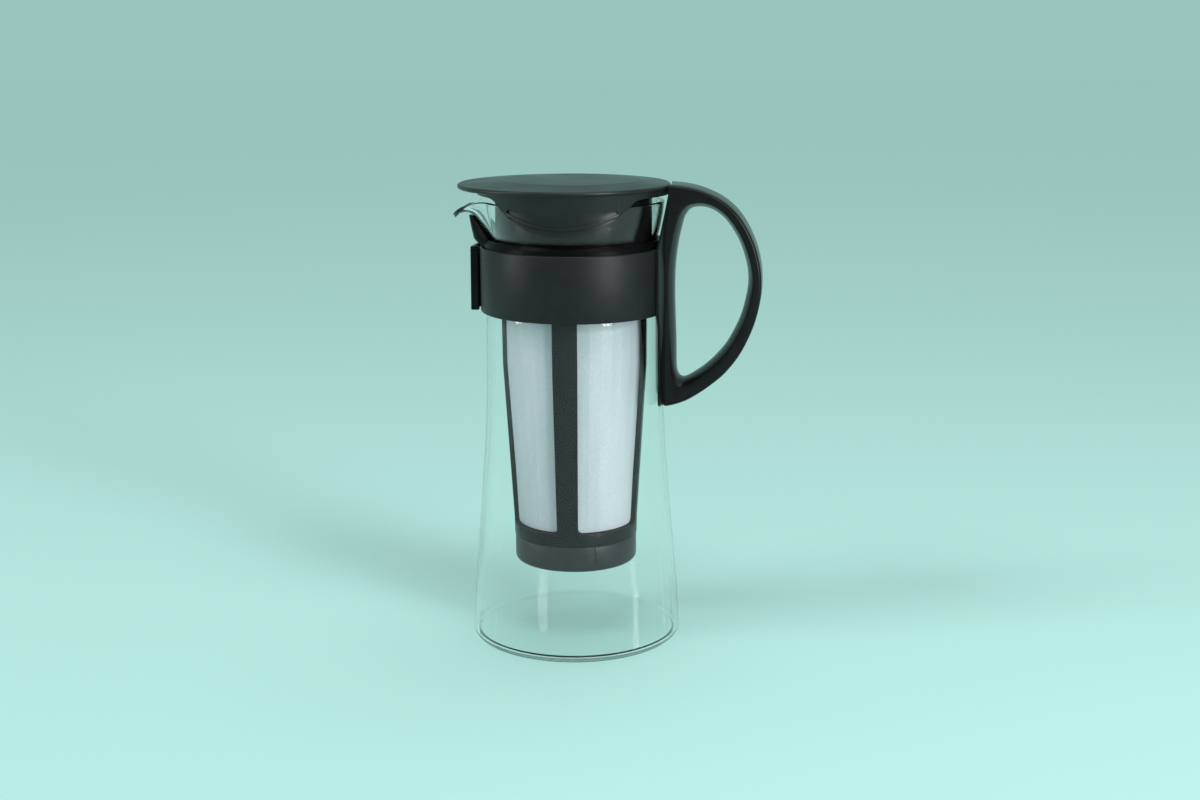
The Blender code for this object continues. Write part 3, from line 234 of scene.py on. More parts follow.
def smooth_path(points, steps, closed=False):
    """A Catmull-Rom line through the points, with this many steps between each two."""
    count = len(points)
    path = []
    for index in range(count if closed else count - 1):
        near = []
        for shift in (-1, 0, 1, 2):
            place = (index + shift) % count if closed else min(max(index + shift, 0), count - 1)
            near.append(Vector(points[place]))
        before, start, end, after = near
        for step in range(steps):
            t = step / steps
            path.append(
                start
                + (end - before) * (t / 2)
                + (before * 2 - start * 5 + end * 4 - after) * (t * t / 2)
                + (start * 3 - before - end * 3 + after) * (t * t * t / 2)
            )
    if not closed:
        path.append(Vector(points[-1]))
    return path


# Materials

# Plastics: colour, roughness, grain's scale and height in metres, gloss
PLASTICS = {
    "band_satin": ((0.0065, 0.0062, 0.0068), 0.42, 2600, 0.00006, 0.26),
    "lid_satin": ((0.0065, 0.006, 0.0063), 0.36, 2200, 0.00002, 0.34),
    "handle_gloss": ((0.0055, 0.005, 0.0053), 0.24, 1500, 0.000012, 0.16),
    "clip_gloss": ((0.003, 0.003, 0.0033), 0.28, 1500, 0.000015, 0.12),
    "liner_rubber": ((0.002, 0.0018, 0.002), 0.36, 1200, 0.00002, 0.06),
    "frame_satin": ((0.0045, 0.004, 0.0042), 0.33, 1600, 0.000001, 0.10),
    # The cap's colour is lighter than the frame's. This is painted light that stands in for the floor's
    # reflection on the same black plastic.
    "cap_satin_painted_lighter": ((0.016, 0.0155, 0.018), 0.40, 2000, 0.00003, 0.24),
}
BROAD_SCALE = 45
ROUGH_SWING = 0.04
MOTTLE_SCALE = 160
MOTTLE_RANGE = (0.85, 1.25)
RIPPLE_HEIGHT = 0.00004
GLASS_COLOUR = (0.985, 0.995, 0.99)
GLASS_INDEX = 1.5
GLASS_REFLECTION = (0.55, 0.45, 0.47)
GLASS_SHADOW = (0.965, 0.975, 0.972)
WAVE_SCALE = 22
WAVE_STRETCH = (1, 1, 0.35)
WAVE_HEIGHT = 0.0001
WEAVE_COLOUR = (0.54, 0.58, 0.63)
# Painted shade and painted sheen for the mesh's folds
WEAVE_FOLD_SHADE = (0.47, 0.52, 0.57)
WEAVE_FOLD_SHEEN = (0.62, 0.64, 0.70)
WEAVE_ROUGHNESS = 0.5
FOLD_SCALE = 60
FOLD_STRETCH = (1, 1, 0.12)
FOLD_HEIGHT = 0.0004
THREAD_SCALE = 2600
THREAD_COVER = (0.74, 0.92)


def new_material(name, colour, roughness, **sockets):
    made = bpy.data.materials.new(name)
    made.use_nodes = True
    shader = made.node_tree.nodes["Principled BSDF"]
    shader.inputs["Base Color"].default_value = (*colour, 1.0)
    shader.inputs["Roughness"].default_value = roughness
    for socket, value in sockets.items():
        shader.inputs[socket.replace("_", " ")].default_value = value
    return made, made.node_tree, shader


def noise(tree, scale, detail=2.0, stretch=(1, 1, 1)):
    """Noise in the object's own metres; stretch shortens it along an axis."""
    place = tree.nodes.new("ShaderNodeTexCoord")
    mapping = tree.nodes.new("ShaderNodeMapping")
    mapping.inputs["Scale"].default_value = stretch
    texture = tree.nodes.new("ShaderNodeTexNoise")
    texture.inputs["Scale"].default_value = scale
    texture.inputs["Detail"].default_value = detail
    tree.links.new(place.outputs["Object"], mapping.inputs["Vector"])
    tree.links.new(mapping.outputs["Vector"], texture.inputs["Vector"])
    return texture.outputs["Fac"]


def spread(tree, source, low, high, start=0.3, end=0.7):
    """Maps a noise to the values between low and high."""
    node = tree.nodes.new("ShaderNodeMapRange")
    node.inputs["From Min"].default_value = start
    node.inputs["From Max"].default_value = end
    node.inputs["To Min"].default_value = low
    node.inputs["To Max"].default_value = high
    tree.links.new(source, node.inputs["Value"])
    return node.outputs["Result"]


def tint(tree, factor, dark, light):
    node = tree.nodes.new("ShaderNodeMix")
    node.data_type = "RGBA"
    node.inputs["A"].default_value = (*dark, 1.0)
    node.inputs["B"].default_value = (*light, 1.0)
    tree.links.new(factor, node.inputs["Factor"])
    return node.outputs["Result"]


def bump(tree, height, distance, under=None):
    node = tree.nodes.new("ShaderNodeBump")
    node.inputs["Strength"].default_value = 1.0
    node.inputs["Distance"].default_value = distance
    tree.links.new(height, node.inputs["Height"])
    if under is not None:
        tree.links.new(under, node.inputs["Normal"])
    return node.outputs["Normal"]


def plastic(name):
    """Moulded plastic: a fine grain, uneven gloss and a faint mottling of the colour."""
    colour, roughness, grain, grain_height, gloss = PLASTICS[name]
    made, tree, shader = new_material(name, colour, roughness, Specular_IOR_Level=gloss)
    broad = noise(tree, BROAD_SCALE, 3)
    rough = spread(tree, broad, roughness - ROUGH_SWING, roughness + ROUGH_SWING)
    tree.links.new(rough, shader.inputs["Roughness"])
    mottle = spread(tree, noise(tree, MOTTLE_SCALE, 3), 0, 1)
    dark, light = (tuple(part * share for part in colour) for share in MOTTLE_RANGE)
    tree.links.new(tint(tree, mottle, dark, light), shader.inputs["Base Color"])
    ripple = bump(tree, broad, RIPPLE_HEIGHT)
    grained = bump(tree, noise(tree, grain, 2), grain_height, under=ripple)
    tree.links.new(grained, shader.inputs["Normal"])
    return made


def let_light_through(tree, shader):
    """Shadow and diffuse rays cross the glass straight, so it casts only a faint shadow."""
    rays = tree.nodes.new("ShaderNodeLightPath")
    either = tree.nodes.new("ShaderNodeMath")
    either.operation = "MAXIMUM"
    tree.links.new(rays.outputs["Is Shadow Ray"], either.inputs[0])
    tree.links.new(rays.outputs["Is Diffuse Ray"], either.inputs[1])
    clear = tree.nodes.new("ShaderNodeBsdfTransparent")
    clear.inputs["Color"].default_value = (*GLASS_SHADOW, 1.0)
    mix = tree.nodes.new("ShaderNodeMixShader")
    tree.links.new(either.outputs[0], mix.inputs[0])
    tree.links.new(shader.outputs[0], mix.inputs[1])
    tree.links.new(clear.outputs[0], mix.inputs[2])
    tree.links.new(mix.outputs[0], tree.nodes["Material Output"].inputs["Surface"])


def clear_glass():
    made, tree, shader = new_material(
        "clear_glass", GLASS_COLOUR, 0.0, Transmission_Weight=1.0, IOR=GLASS_INDEX,
        Specular_Tint=(*GLASS_REFLECTION, 1.0),
    )
    wave = noise(tree, WAVE_SCALE, 1, stretch=WAVE_STRETCH)
    tree.links.new(bump(tree, wave, WAVE_HEIGHT), shader.inputs["Normal"])
    let_light_through(tree, shader)
    return made


def mesh_weave():
    """Fine woven mesh: pale threads with see-through holes, and soft folds down its length, with
    painted shade and painted sheen along the folds.
    """
    made, tree, shader = new_material("mesh_weave", WEAVE_COLOUR, WEAVE_ROUGHNESS)
    folds = noise(tree, FOLD_SCALE, 2, stretch=FOLD_STRETCH)
    # Painted shade and painted sheen: the colour darkens and lightens along the same noise that bumps
    # the folds.
    pale = tint(tree, spread(tree, folds, 0, 1, 0.35, 0.65), WEAVE_FOLD_SHADE, WEAVE_FOLD_SHEEN)
    tree.links.new(pale, shader.inputs["Base Color"])
    tree.links.new(bump(tree, folds, FOLD_HEIGHT), shader.inputs["Normal"])
    tree.links.new(spread(tree, noise(tree, THREAD_SCALE, 1), *THREAD_COVER), shader.inputs["Alpha"])
    return made


GLASS_LOOK = clear_glass()
BAND_LOOK = plastic("band_satin")
LID_LOOK = plastic("lid_satin")
HANDLE_LOOK = plastic("handle_gloss")
CLIP_LOOK = plastic("clip_gloss")
LINER_LOOK = plastic("liner_rubber")
FRAME_LOOK = plastic("frame_satin")
CAP_LOOK = plastic("cap_satin_painted_lighter")
WEAVE_LOOK = mesh_weave()


# Making and placing pieces

def object_from(name, bm, look, closed=True):
    if closed:
        bmesh.ops.recalc_face_normals(bm, faces=bm.faces)
    data = bpy.data.meshes.new(name)
    bm.to_mesh(data)
    bm.free()
    made = bpy.data.objects.new(name, data)
    bpy.context.scene.collection.objects.link(made)
    if look is not None:
        data.materials.append(look)
    return made


def smooth_with_sharp_edges(target, angle=SOFT_EDGE_ANGLE):
    for face in target.data.polygons:
        face.use_smooth = True
    target.data.set_sharp_from_angle(angle=angle)


def bevelled(target, width, segments, angle):
    bevel = target.modifiers.new("round_edges", "BEVEL")
    bevel.width = width
    bevel.segments = segments
    bevel.limit_method = "ANGLE"
    bevel.angle_limit = angle
    bevel.harden_normals = False


def applied(target):
    """Turns the modifiers into plain mesh."""
    graph = bpy.context.evaluated_depsgraph_get()
    data = bpy.data.meshes.new_from_object(target.evaluated_get(graph))
    target.modifiers.clear()
    target.data = data


def combine(target, helper, operation):
    """Adds, cuts or keeps what the helper holds, and drops the helper."""
    change = target.modifiers.new("combine", "BOOLEAN")
    change.operation = operation
    change.solver = "EXACT"
    change.object = helper
    applied(target)
    bpy.data.objects.remove(helper)


def turned(name, profile, segments):
    """A closed outline of (radius, height) points turned about Z."""
    bm = bmesh.new()
    angles = [2 * pi * step / segments for step in range(segments)]
    rings = []
    for radius, height in profile:
        if radius == 0:
            rings.append([bm.verts.new((0, 0, height))] * segments)
        else:
            rings.append(
                [bm.verts.new((radius * cos(turn), radius * sin(turn), height)) for turn in angles]
            )
    for ring, after_ring in zip(rings, rings[1:] + rings[:1]):
        if ring[0] is ring[1] and after_ring[0] is after_ring[1]:
            continue
        for index in range(segments):
            after = (index + 1) % segments
            corners = (ring[index], ring[after], after_ring[after], after_ring[index])
            bm.faces.new(list(dict.fromkeys(corners)))
    return object_from(name, bm, None)


def prism(name, outline, low, high, crosswise=False):
    """A flat outline pushed along Z, or along Y for an outline seen from the side."""
    bm = bmesh.new()
    ends = []
    for along in (low, high):
        points = [(a, along, b) if crosswise else (a, b, along) for a, b in outline]
        ends.append([bm.verts.new(point) for point in points])
        bm.faces.new(ends[-1])
    grid_faces(bm, ends, True)
    return object_from(name, bm, None)


def cleaned(piece):
    """Joins points and faces that the cuts split, so that the rounding has room."""
    bm = bmesh.new()
    bm.from_mesh(piece.data)
    bmesh.ops.remove_doubles(bm, verts=bm.verts, dist=MERGE_DISTANCE)
    bmesh.ops.dissolve_degenerate(bm, dist=MERGE_DISTANCE * 2, edges=bm.edges)
    bmesh.ops.dissolve_limit(bm, angle_limit=CUT_JOIN_ANGLE, verts=bm.verts, edges=bm.edges)
    bm.to_mesh(piece.data)
    bm.free()


def finished(piece, look, width, segments, angle):
    """Rounds the piece's edges, smooths it and gives it its look."""
    cleaned(piece)
    bevelled(piece, width, segments, angle)
    applied(piece)
    piece.data.materials.clear()
    piece.data.materials.append(look)
    for face in piece.data.polygons:
        face.material_index = 0
    smooth_with_sharp_edges(piece, FINISHED_SHARP_ANGLE)


def place(piece, body, slot, *nodes):
    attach(piece, body)
    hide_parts(*nodes)


def grid_faces(bm, rows, closed):
    """Quads between rows of points; closed rows run all the way round."""
    for lower, upper in zip(rows, rows[1:]):
        count = len(lower)
        for index in range(count if closed else count - 1):
            after = (index + 1) % count
            bm.faces.new((lower[index], lower[after], upper[after], upper[index]))


# Glass

def spout_weight(angle):
    """1 in the middle of the spout at -X, falling smoothly to 0 beside it."""
    away = abs(angle % (2 * pi) - pi)
    share = max(0.0, 1 - away / SPOUT_HALF_ANGLE)
    return share * share * (3 - 2 * share)


def glass_lines():
    """The plain outline of the glass above its corner, and the one along the spout's middle."""
    body = [
        (blend(BASE_RADIUS, BODY_TOP_RADIUS, draw), BODY_TOP_HEIGHT * up)
        for up, draw in BODY_DRAW_SHARES
    ]
    for share in QUARTERS:
        body.append(
            (blend(BODY_TOP_RADIUS, WAIST_RADIUS, (1 - cos(pi * share)) / 2),
             blend(BODY_TOP_HEIGHT, WAIST_HEIGHT, share))
        )
    start = [(BASE_RADIUS, BASE_CORNER)]
    plain = start + body + [
        (blend(WAIST_RADIUS, MOUTH_RADIUS, out), blend(WAIST_HEIGHT, GLASS_HEIGHT, up))
        for up, out in FLARE_SHARES
    ]
    middle = start + body + [
        (blend(WAIST_RADIUS, SPOUT_REACH, out), blend(WAIST_HEIGHT, SPOUT_CREST_HEIGHT, up))
        for out, up in SPOUT_LINE_SHARES
    ] + [(SPOUT_REACH, SPOUT_TIP_HEIGHT)]
    return smooth_path(plain, ROW_STEPS), smooth_path(middle, ROW_STEPS)


PLAIN_LINE, SPOUT_LINE = glass_lines()


def glass_point(row, angle, grow=0.0):
    weight = spout_weight(angle)
    radius = blend(PLAIN_LINE[row].x, SPOUT_LINE[row].x, weight) + grow
    height = blend(PLAIN_LINE[row].y, SPOUT_LINE[row].y, weight ** SPOUT_DROP_POWER)
    return Vector((radius * cos(angle), radius * sin(angle), height))


def glass_angles():
    """Angles of the glass's columns, set closer across the spout."""
    across = [pi + SPOUT_HALF_ANGLE * (2 * step / SPOUT_COLUMNS - 1) for step in range(SPOUT_COLUMNS)]
    others = GLASS_COLUMNS - SPOUT_COLUMNS
    span = 2 * pi - 2 * SPOUT_HALF_ANGLE
    return across + [pi + SPOUT_HALF_ANGLE + span * step / others for step in range(others)]


def make_glass():
    angles = glass_angles()
    corner = arc((BASE_RADIUS - BASE_CORNER, BASE_CORNER), BASE_CORNER, -pi / 2, 0, CORNER_STEPS)
    foot = [(share * corner[0][0], 0.0) for share in QUARTERS] + corner[:-1]
    rows = [
        [(radius * cos(angle), radius * sin(angle), height) for angle in angles]
        for radius, height in foot
    ]
    rows += [[glass_point(row, angle) for angle in angles] for row in range(len(PLAIN_LINE))]
    bm = bmesh.new()
    rings = [[bm.verts.new(point) for point in row] for row in rows]
    grid_faces(bm, rings, True)
    hub = bm.verts.new((0, 0, 0))
    for index in range(GLASS_COLUMNS):
        bm.faces.new((hub, rings[0][(index + 1) % GLASS_COLUMNS], rings[0][index]))
    bm.verts.index_update()
    floor_count = len(QUARTERS) + CORNER_STEPS // 2
    floor_points = [hub.index] + [vert.index for ring in rings[:floor_count] for vert in ring]
    glass = object_from("jug_glass", bm, GLASS_LOOK, closed=False)
    floor = glass.vertex_groups.new(name="floor")
    floor.add(floor_points, 1.0, "REPLACE")
    wall = glass.modifiers.new("wall", "SOLIDIFY")
    wall.thickness = GLASS_FLOOR
    wall.offset = -1
    wall.use_even_offset = True
    wall.vertex_group = floor.name
    wall.thickness_vertex_group = GLASS_WALL / GLASS_FLOOR
    bevelled(glass, GLASS_WALL * RIM_ROUND_SHARE, 4, RIM_EDGE_ANGLE)
    applied(glass)
    smooth_with_sharp_edges(glass, GLASS_SHARP_ANGLE)
    place(glass, "jug", "glass", "carafe_glass")


# Liner

def glass_radius_at(height, angle):
    """Outer radius of the glass above its body, at this height."""
    rows = [
        glass_point(row, angle)
        for row in range(len(PLAIN_LINE)) if PLAIN_LINE[row].y > BODY_TOP_HEIGHT
    ]
    points = [(sqrt(point.x ** 2 + point.y ** 2), point.z) for point in rows]
    for (low_radius, low), (high_radius, high) in zip(points, points[1:]):
        if low <= height <= high and high > low:
            return blend(low_radius, high_radius, (height - low) / (high - low))
    return points[-1][0]


def liner_profile():
    low = BAND_BOTTOM + LINER_LIFT
    outer = BAND_RADIUS - BAND_WALL - TOUCH_GAP
    lip_top = BAND_TOP + LINER_LIP_RISE
    heights = [blend(low, lip_top, step / LINER_ROWS) for step in range(LINER_ROWS + 1)]
    inner = [
        (max(glass_radius_at(height, 0), glass_radius_at(height, pi)) + TOUCH_GAP, height)
        for height in heights
    ]
    lip_radius = inner[-1][0] + LINER_LIP_WALL
    bulge = (outer, BAND_TOP + LINER_LIP_RISE * LINER_BULGE_SHARE)
    return [(lip_radius, lip_top), bulge, (outer, low)] + inner


def make_tongue():
    """The part of the liner that climbs up under the spout, following the glass."""
    low = BAND_TOP + TOUCH_GAP
    leans = [point.y for point in smooth_path(
        [(index, lean) for index, lean in enumerate(TONGUE_LEAN_SHARES)], 3
    )]
    bm = bmesh.new()
    inner_rows = []
    outer_rows = []
    for row, lean in enumerate(leans):
        share = row / (len(leans) - 1)
        height = blend(low, TONGUE_TOP, share)
        half_angle = blend(TONGUE_FOOT_ANGLE, TONGUE_TOP_ANGLE, share ** TONGUE_TAPER_POWER)
        outer = blend(TONGUE_FOOT_RADIUS, TONGUE_TOP_RADIUS, lean)
        inner_row = []
        outer_row = []
        for step in range(TONGUE_STEPS + 1):
            across = 2 * step / TONGUE_STEPS - 1
            angle = pi + half_angle * across
            inside = glass_radius_at(height, angle) + TOUCH_GAP
            swell = max(0.0, outer - inside - LINER_LIP_WALL)
            outside = inside + LINER_LIP_WALL + swell * (1 - across ** 2)
            inner_row.append(bm.verts.new((inside * cos(angle), inside * sin(angle), height)))
            outer_row.append(bm.verts.new((outside * cos(angle), outside * sin(angle), height)))
        inner_rows.append(inner_row)
        outer_rows.append(outer_row[::-1])
    grid_faces(bm, [inner + outer for inner, outer in zip(inner_rows, outer_rows)], True)
    for row in (0, -1):
        bm.faces.new(inner_rows[row] + outer_rows[row])
    return object_from("tongue", bm, None)


def make_liner():
    liner = turned("liner_ring", liner_profile(), LINER_SEGMENTS)
    combine(liner, make_tongue(), "UNION")
    finished(liner, LINER_LOOK, LINER_ROUNDING, 3, LINER_EDGE_ANGLE)
    place(liner, "jug", "liner", "band_liner")


# Handle

def handle_section(inner, outer):
    """Points round one section of the handle, from the hole's crowned edge to the outline."""
    length = (outer - inner).length
    stations = []
    for step in range(1, CROWN_STEPS):
        share = sin(pi / 2 * step / CROWN_STEPS)
        stations.append((HANDLE_CROWN * share ** 2, HANDLE_HALF_WIDTH * share))
    stations.append((HANDLE_CROWN + HANDLE_EDGE / 2, HANDLE_HALF_WIDTH))
    edge = (length - HANDLE_EDGE, HANDLE_HALF_WIDTH - HANDLE_EDGE)
    stations += arc(edge, HANDLE_EDGE, pi / 2, 0, EDGE_STEPS)
    near = []
    far = []
    for along, half in stations:
        spot = inner + (outer - inner) * (along / length)
        near.append((spot.x, -half, spot.y))
        far.append((spot.x, half, spot.y))
    return near + far[::-1]


def wing_plan(height, half_width, inset):
    """Plan of the root at one height: two wings that run back along the band to thin edges."""
    half_width -= inset
    edge = sqrt(envelope_radius(height) ** 2 - half_width ** 2) + ROOT_EDGE_WALL - inset / 2
    spread_share = (half_width - ROOT_WING_END) / (ROOT_HALF_WIDTH - ROOT_WING_END)
    front = edge + ROOT_WING_DEPTH * spread_share
    half = [(HANDLE_BACK_X + ROOT_BACK_INSET, half_width), (edge, half_width)]
    for forward, out in WING_CURVE_SHARES:
        half.append((blend(edge, front, forward), blend(ROOT_WING_END, half_width, out)))
    half += [(front, ROOT_WING_END), (front, ROOT_WING_END - ROOT_WING_SINK)]
    return half + [(x, -y) for x, y in half[::-1]]


def make_root_wings():
    """The broad back of the handle's root, from its foot up past the band."""
    foot = HANDLE_BOTTOM + ROOT_FOOT_LIFT
    levels = [(foot + lift, ROOT_LOW_HALF_WIDTH, inset) for lift, inset in ROOT_FOOT_INSETS]
    levels += [
        (BAND_BOTTOM - ROOT_LOW_SPAN, ROOT_LOW_HALF_WIDTH, 0),
        (BAND_BOTTOM, ROOT_HALF_WIDTH, 0),
        (BAND_TOP, ROOT_HALF_WIDTH, 0),
        (HANDLE_TOP - ROOT_WING_TOP_DROP, ROOT_TOP_HALF_WIDTH, 0),
    ]
    bm = bmesh.new()
    rings = [
        [bm.verts.new((x, y, height)) for x, y in wing_plan(height, half_width, inset)]
        for height, half_width, inset in levels
    ]
    grid_faces(bm, rings, True)
    bm.faces.new(rings[0])
    bm.faces.new(rings[-1])
    return object_from("root_wings", bm, None)


def envelope_bends():
    """Radius and height of the space kept free for the band, the glass and the lid."""
    back = BAND_RADIUS + TOUCH_GAP
    top_radius = LID_BRIM_RADIUS + LID_BRIM_SHIFT + HANDLE_TOP_CLEARANCE
    out, up = BACK_BEND_SHARES
    bend = (blend(back, top_radius, out), blend(BAND_TOP, LID_TOP, up))
    return [(back, BAND_TOP), bend, (top_radius, LID_TOP - LID_BRIM_DROP - LID_BRIM_EDGE * 2)]


def envelope_radius(height):
    bends = envelope_bends()
    for (radius, low), (after_radius, high) in zip(bends, bends[1:]):
        if height < high:
            return blend(radius, after_radius, max(0.0, (height - low) / (high - low)))
    return bends[-1][0]


def make_jug_envelope():
    """The turned space that the handle's root leaves to the glass, the band and the lid."""
    bends = envelope_bends()
    back = bends[0][0]
    top = HANDLE_TOP + CUT_OVERRUN
    low = HANDLE_BOTTOM - CUT_OVERRUN
    foot = (back + ROOT_FOOT_ROUND, HANDLE_BOTTOM + ROOT_FOOT_ROUND)
    profile = [(0, top), (bends[-1][0], top)] + bends[::-1] + [(back, foot[1])]
    profile += arc(foot, ROOT_FOOT_ROUND, pi, ROOT_FOOT_TURN, 6)[1:]
    profile += [(profile[-1][0], low), (0, low)]
    return turned("jug_envelope", profile, GLASS_COLUMNS)


def rail_groove():
    inner = BAND_RADIUS - BAND_WALL / 2
    outer = BAND_RADIUS + RAIL_DEPTH + TOUCH_GAP
    root = RAIL_ROOT_WIDTH / 2 + TOUCH_GAP
    tip = RAIL_TIP_WIDTH / 2 + TOUCH_GAP
    plan = [(inner, -root), (outer, -tip), (outer, tip), (inner, root)]
    top = BAND_BOTTOM + RAIL_LIFT + RAIL_HEIGHT + TOUCH_GAP
    return prism("rail_groove", plan, HANDLE_BOTTOM - CUT_OVERRUN, top)


def make_handle():
    def placed(shares):
        out, up = shares
        return (blend(HANDLE_BACK_X, HANDLE_REACH, out), blend(HANDLE_BOTTOM, HANDLE_TOP, up))

    inner_line, outer_line = (
        smooth_path([placed(pair[side]) for pair in HANDLE_SECTION_SHARES], SECTION_STEPS, True)
        for side in (0, 1)
    )
    bm = bmesh.new()
    sections = [handle_section(*ends) for ends in zip(inner_line, outer_line)]
    rings = [[bm.verts.new(point) for point in section] for section in sections]
    grid_faces(bm, rings + rings[:1], True)
    handle = object_from("handle_loop", bm, None)
    combine(handle, make_root_wings(), "UNION")
    combine(handle, make_jug_envelope(), "DIFFERENCE")
    combine(handle, rail_groove(), "DIFFERENCE")
    finished(handle, HANDLE_LOOK, HANDLE_ROUNDING, 2, ROUNDED_EDGE_ANGLE)
    place(handle, "jug", "handle", "handle")


# Lid

def lid_rows():
    """Circles of the lid's top shell, from the middle of the top round the edge to the underside."""
    brim_top = LID_TOP - LID_BRIM_DROP
    edge = LID_BRIM_EDGE / 2
    crease_shift = blend(LID_PLATEAU_SHIFT, LID_BRIM_SHIFT, CREASE_SHIFT_SHARE)
    plug_outer = CUP_RADIUS - CUP_WALL - LOOSE_GAP
    bends = [
        (LID_PLATEAU_SHIFT, LID_PLATEAU_RADIUS - LID_CREASE, LID_TOP),
        (LID_PLATEAU_SHIFT, LID_PLATEAU_RADIUS, LID_TOP - LID_CREASE * CREASE_DROP_SHARES[0]),
        (crease_shift, LID_PLATEAU_RADIUS + LID_CREASE, LID_TOP - LID_CREASE * CREASE_DROP_SHARES[1]),
    ]
    rows = [(shift, radius, height) for shift, radius, height in smooth_path(bends, 4)]
    for along, drop in arc((0, 0), edge, pi / 2, -pi / 2, 12):
        rows.append((LID_BRIM_SHIFT, LID_BRIM_RADIUS - edge + along, brim_top - edge + drop))
    rows.append((0, LID_WALL_RADIUS - LID_WALL_THICKNESS / 2, brim_top - LID_BRIM_EDGE))
    rows.append((0, plug_outer - PLUG_WALL / 2, LID_TOP - LID_PLATE))
    return rows


def make_lid_shell():
    bm = bmesh.new()
    angles = [2 * pi * step / LID_SEGMENTS for step in range(LID_SEGMENTS)]
    rings = [
        [bm.verts.new((shift + radius * cos(angle), radius * sin(angle), height)) for angle in angles]
        for shift, radius, height in lid_rows()
    ]
    grid_faces(bm, rings, True)
    bm.faces.new(rings[0])
    bm.faces.new(rings[-1])
    return object_from("lid_shell", bm, None)


def flap_outline():
    """The side view of both flaps: a hanging arc, two fillets and the low wall beside them."""
    wall_bottom = LID_TOP - LID_BRIM_DROP - LID_BRIM_EDGE - LID_WALL_DROP
    centre = FLAP_BOTTOM + FLAP_ARC_RADIUS
    fillet_centre = wall_bottom - FLAP_FILLET
    reach = sqrt((FLAP_ARC_RADIUS + FLAP_FILLET) ** 2 - (centre - fillet_centre) ** 2)
    turn = asin(reach / (FLAP_ARC_RADIUS + FLAP_FILLET))
    bottom = arc((0, centre), FLAP_ARC_RADIUS, -pi / 2 - turn, -pi / 2 + turn, FLAP_ARC_STEPS)
    right = arc((reach, fillet_centre), FLAP_FILLET, pi / 2 + turn, pi / 2, 10)[1:]
    left = [(-x, height) for x, height in right[::-1]]
    wide = LID_BRIM_RADIUS + CUT_OVERRUN
    high = LID_TOP - LID_BRIM_DROP
    middle = left + bottom + right
    return [(-wide, high), (-wide, wall_bottom)] + middle + [(wide, wall_bottom), (wide, high)]


def grip_arc(drop, half, start_sign):
    """The arc of the recess's lower edge, this much below it, out to this half width."""
    sag = GRIP_TOP - GRIP_ROUND - GRIP_BOTTOM
    radius = (GRIP_HALF_WIDTH ** 2 + sag ** 2) / (2 * sag)
    turn = asin(half / radius) * start_sign
    return arc((0, GRIP_BOTTOM + radius), radius + drop, -pi / 2 - turn, -pi / 2 + turn, FLAP_ARC_STEPS)


def grip_outline():
    """The finger recess of a flap: a crescent with a straight top and an arc below."""
    half = GRIP_HALF_WIDTH
    right = arc((half - GRIP_ROUND, GRIP_TOP - GRIP_ROUND), GRIP_ROUND, 0, pi / 2, 6)[1:]
    left = [(-x, height) for x, height in right[::-1]]
    return grip_arc(0, half, 1) + right + left


def groove_outline():
    """A thin arc under the finger recess, that sets off the lip at the flap's bottom edge."""
    half = GRIP_HALF_WIDTH * GROOVE_END_SHARE
    return grip_arc(GROOVE_DROP, half, 1) + grip_arc(GROOVE_DROP + GROOVE_WIDTH, half, -1)


def wall_cutter(name, outline, depth):
    """A cutter for both flaps that keeps to this depth below the wall's outer side."""
    reach = LID_WALL_RADIUS + CUT_OVERRUN
    cutter = prism(name, outline, -reach, reach, True)
    keep = LID_WALL_RADIUS - depth
    low = FLAP_BOTTOM - CUT_OVERRUN
    core = turned(name + "_core", [(0, LID_TOP), (keep, LID_TOP), (keep, low), (0, low)], LID_SEGMENTS)
    combine(cutter, core, "DIFFERENCE")
    return cutter


def make_lid():
    lid = make_lid_shell()
    wall_top = LID_TOP - LID_BRIM_DROP - LID_BRIM_EDGE / 2
    wall_low = FLAP_BOTTOM - CUT_OVERRUN
    wall_inner = LID_WALL_RADIUS - LID_WALL_THICKNESS
    wall_profile = [
        (LID_WALL_RADIUS, wall_top), (LID_WALL_RADIUS, wall_low),
        (wall_inner, wall_low), (wall_inner, wall_top),
    ]
    wall = turned("lid_wall", wall_profile, LID_SEGMENTS)
    reach = LID_BRIM_RADIUS + CUT_OVERRUN
    combine(wall, prism("flap_outline", flap_outline(), -reach, reach, True), "INTERSECT")
    combine(lid, wall, "UNION")
    plug_outer = CUP_RADIUS - CUP_WALL - LOOSE_GAP
    ledge = CUP_TOP + TOUCH_GAP
    plug_top = LID_TOP - LID_PLATE / 2
    plug = turned(
        "lid_plug",
        [
            (CUP_RADIUS, LID_TOP - LID_BRIM_DROP - LID_BRIM_EDGE / 2),
            (CUP_RADIUS, ledge),
            (plug_outer, ledge),
            (plug_outer, PLUG_BOTTOM),
            (plug_outer - PLUG_WALL, PLUG_BOTTOM),
            (plug_outer - PLUG_WALL, plug_top),
        ],
        LID_SEGMENTS,
    )
    combine(lid, plug, "UNION")
    combine(lid, wall_cutter("finger_grips", grip_outline(), GRIP_DEPTH), "DIFFERENCE")
    combine(lid, wall_cutter("lip_grooves", groove_outline(), GROOVE_DEPTH), "DIFFERENCE")
    finished(lid, LID_LOOK, LID_ROUNDING, 2, ROUNDED_EDGE_ANGLE)
    place(lid, "lid", "lid", "lid")


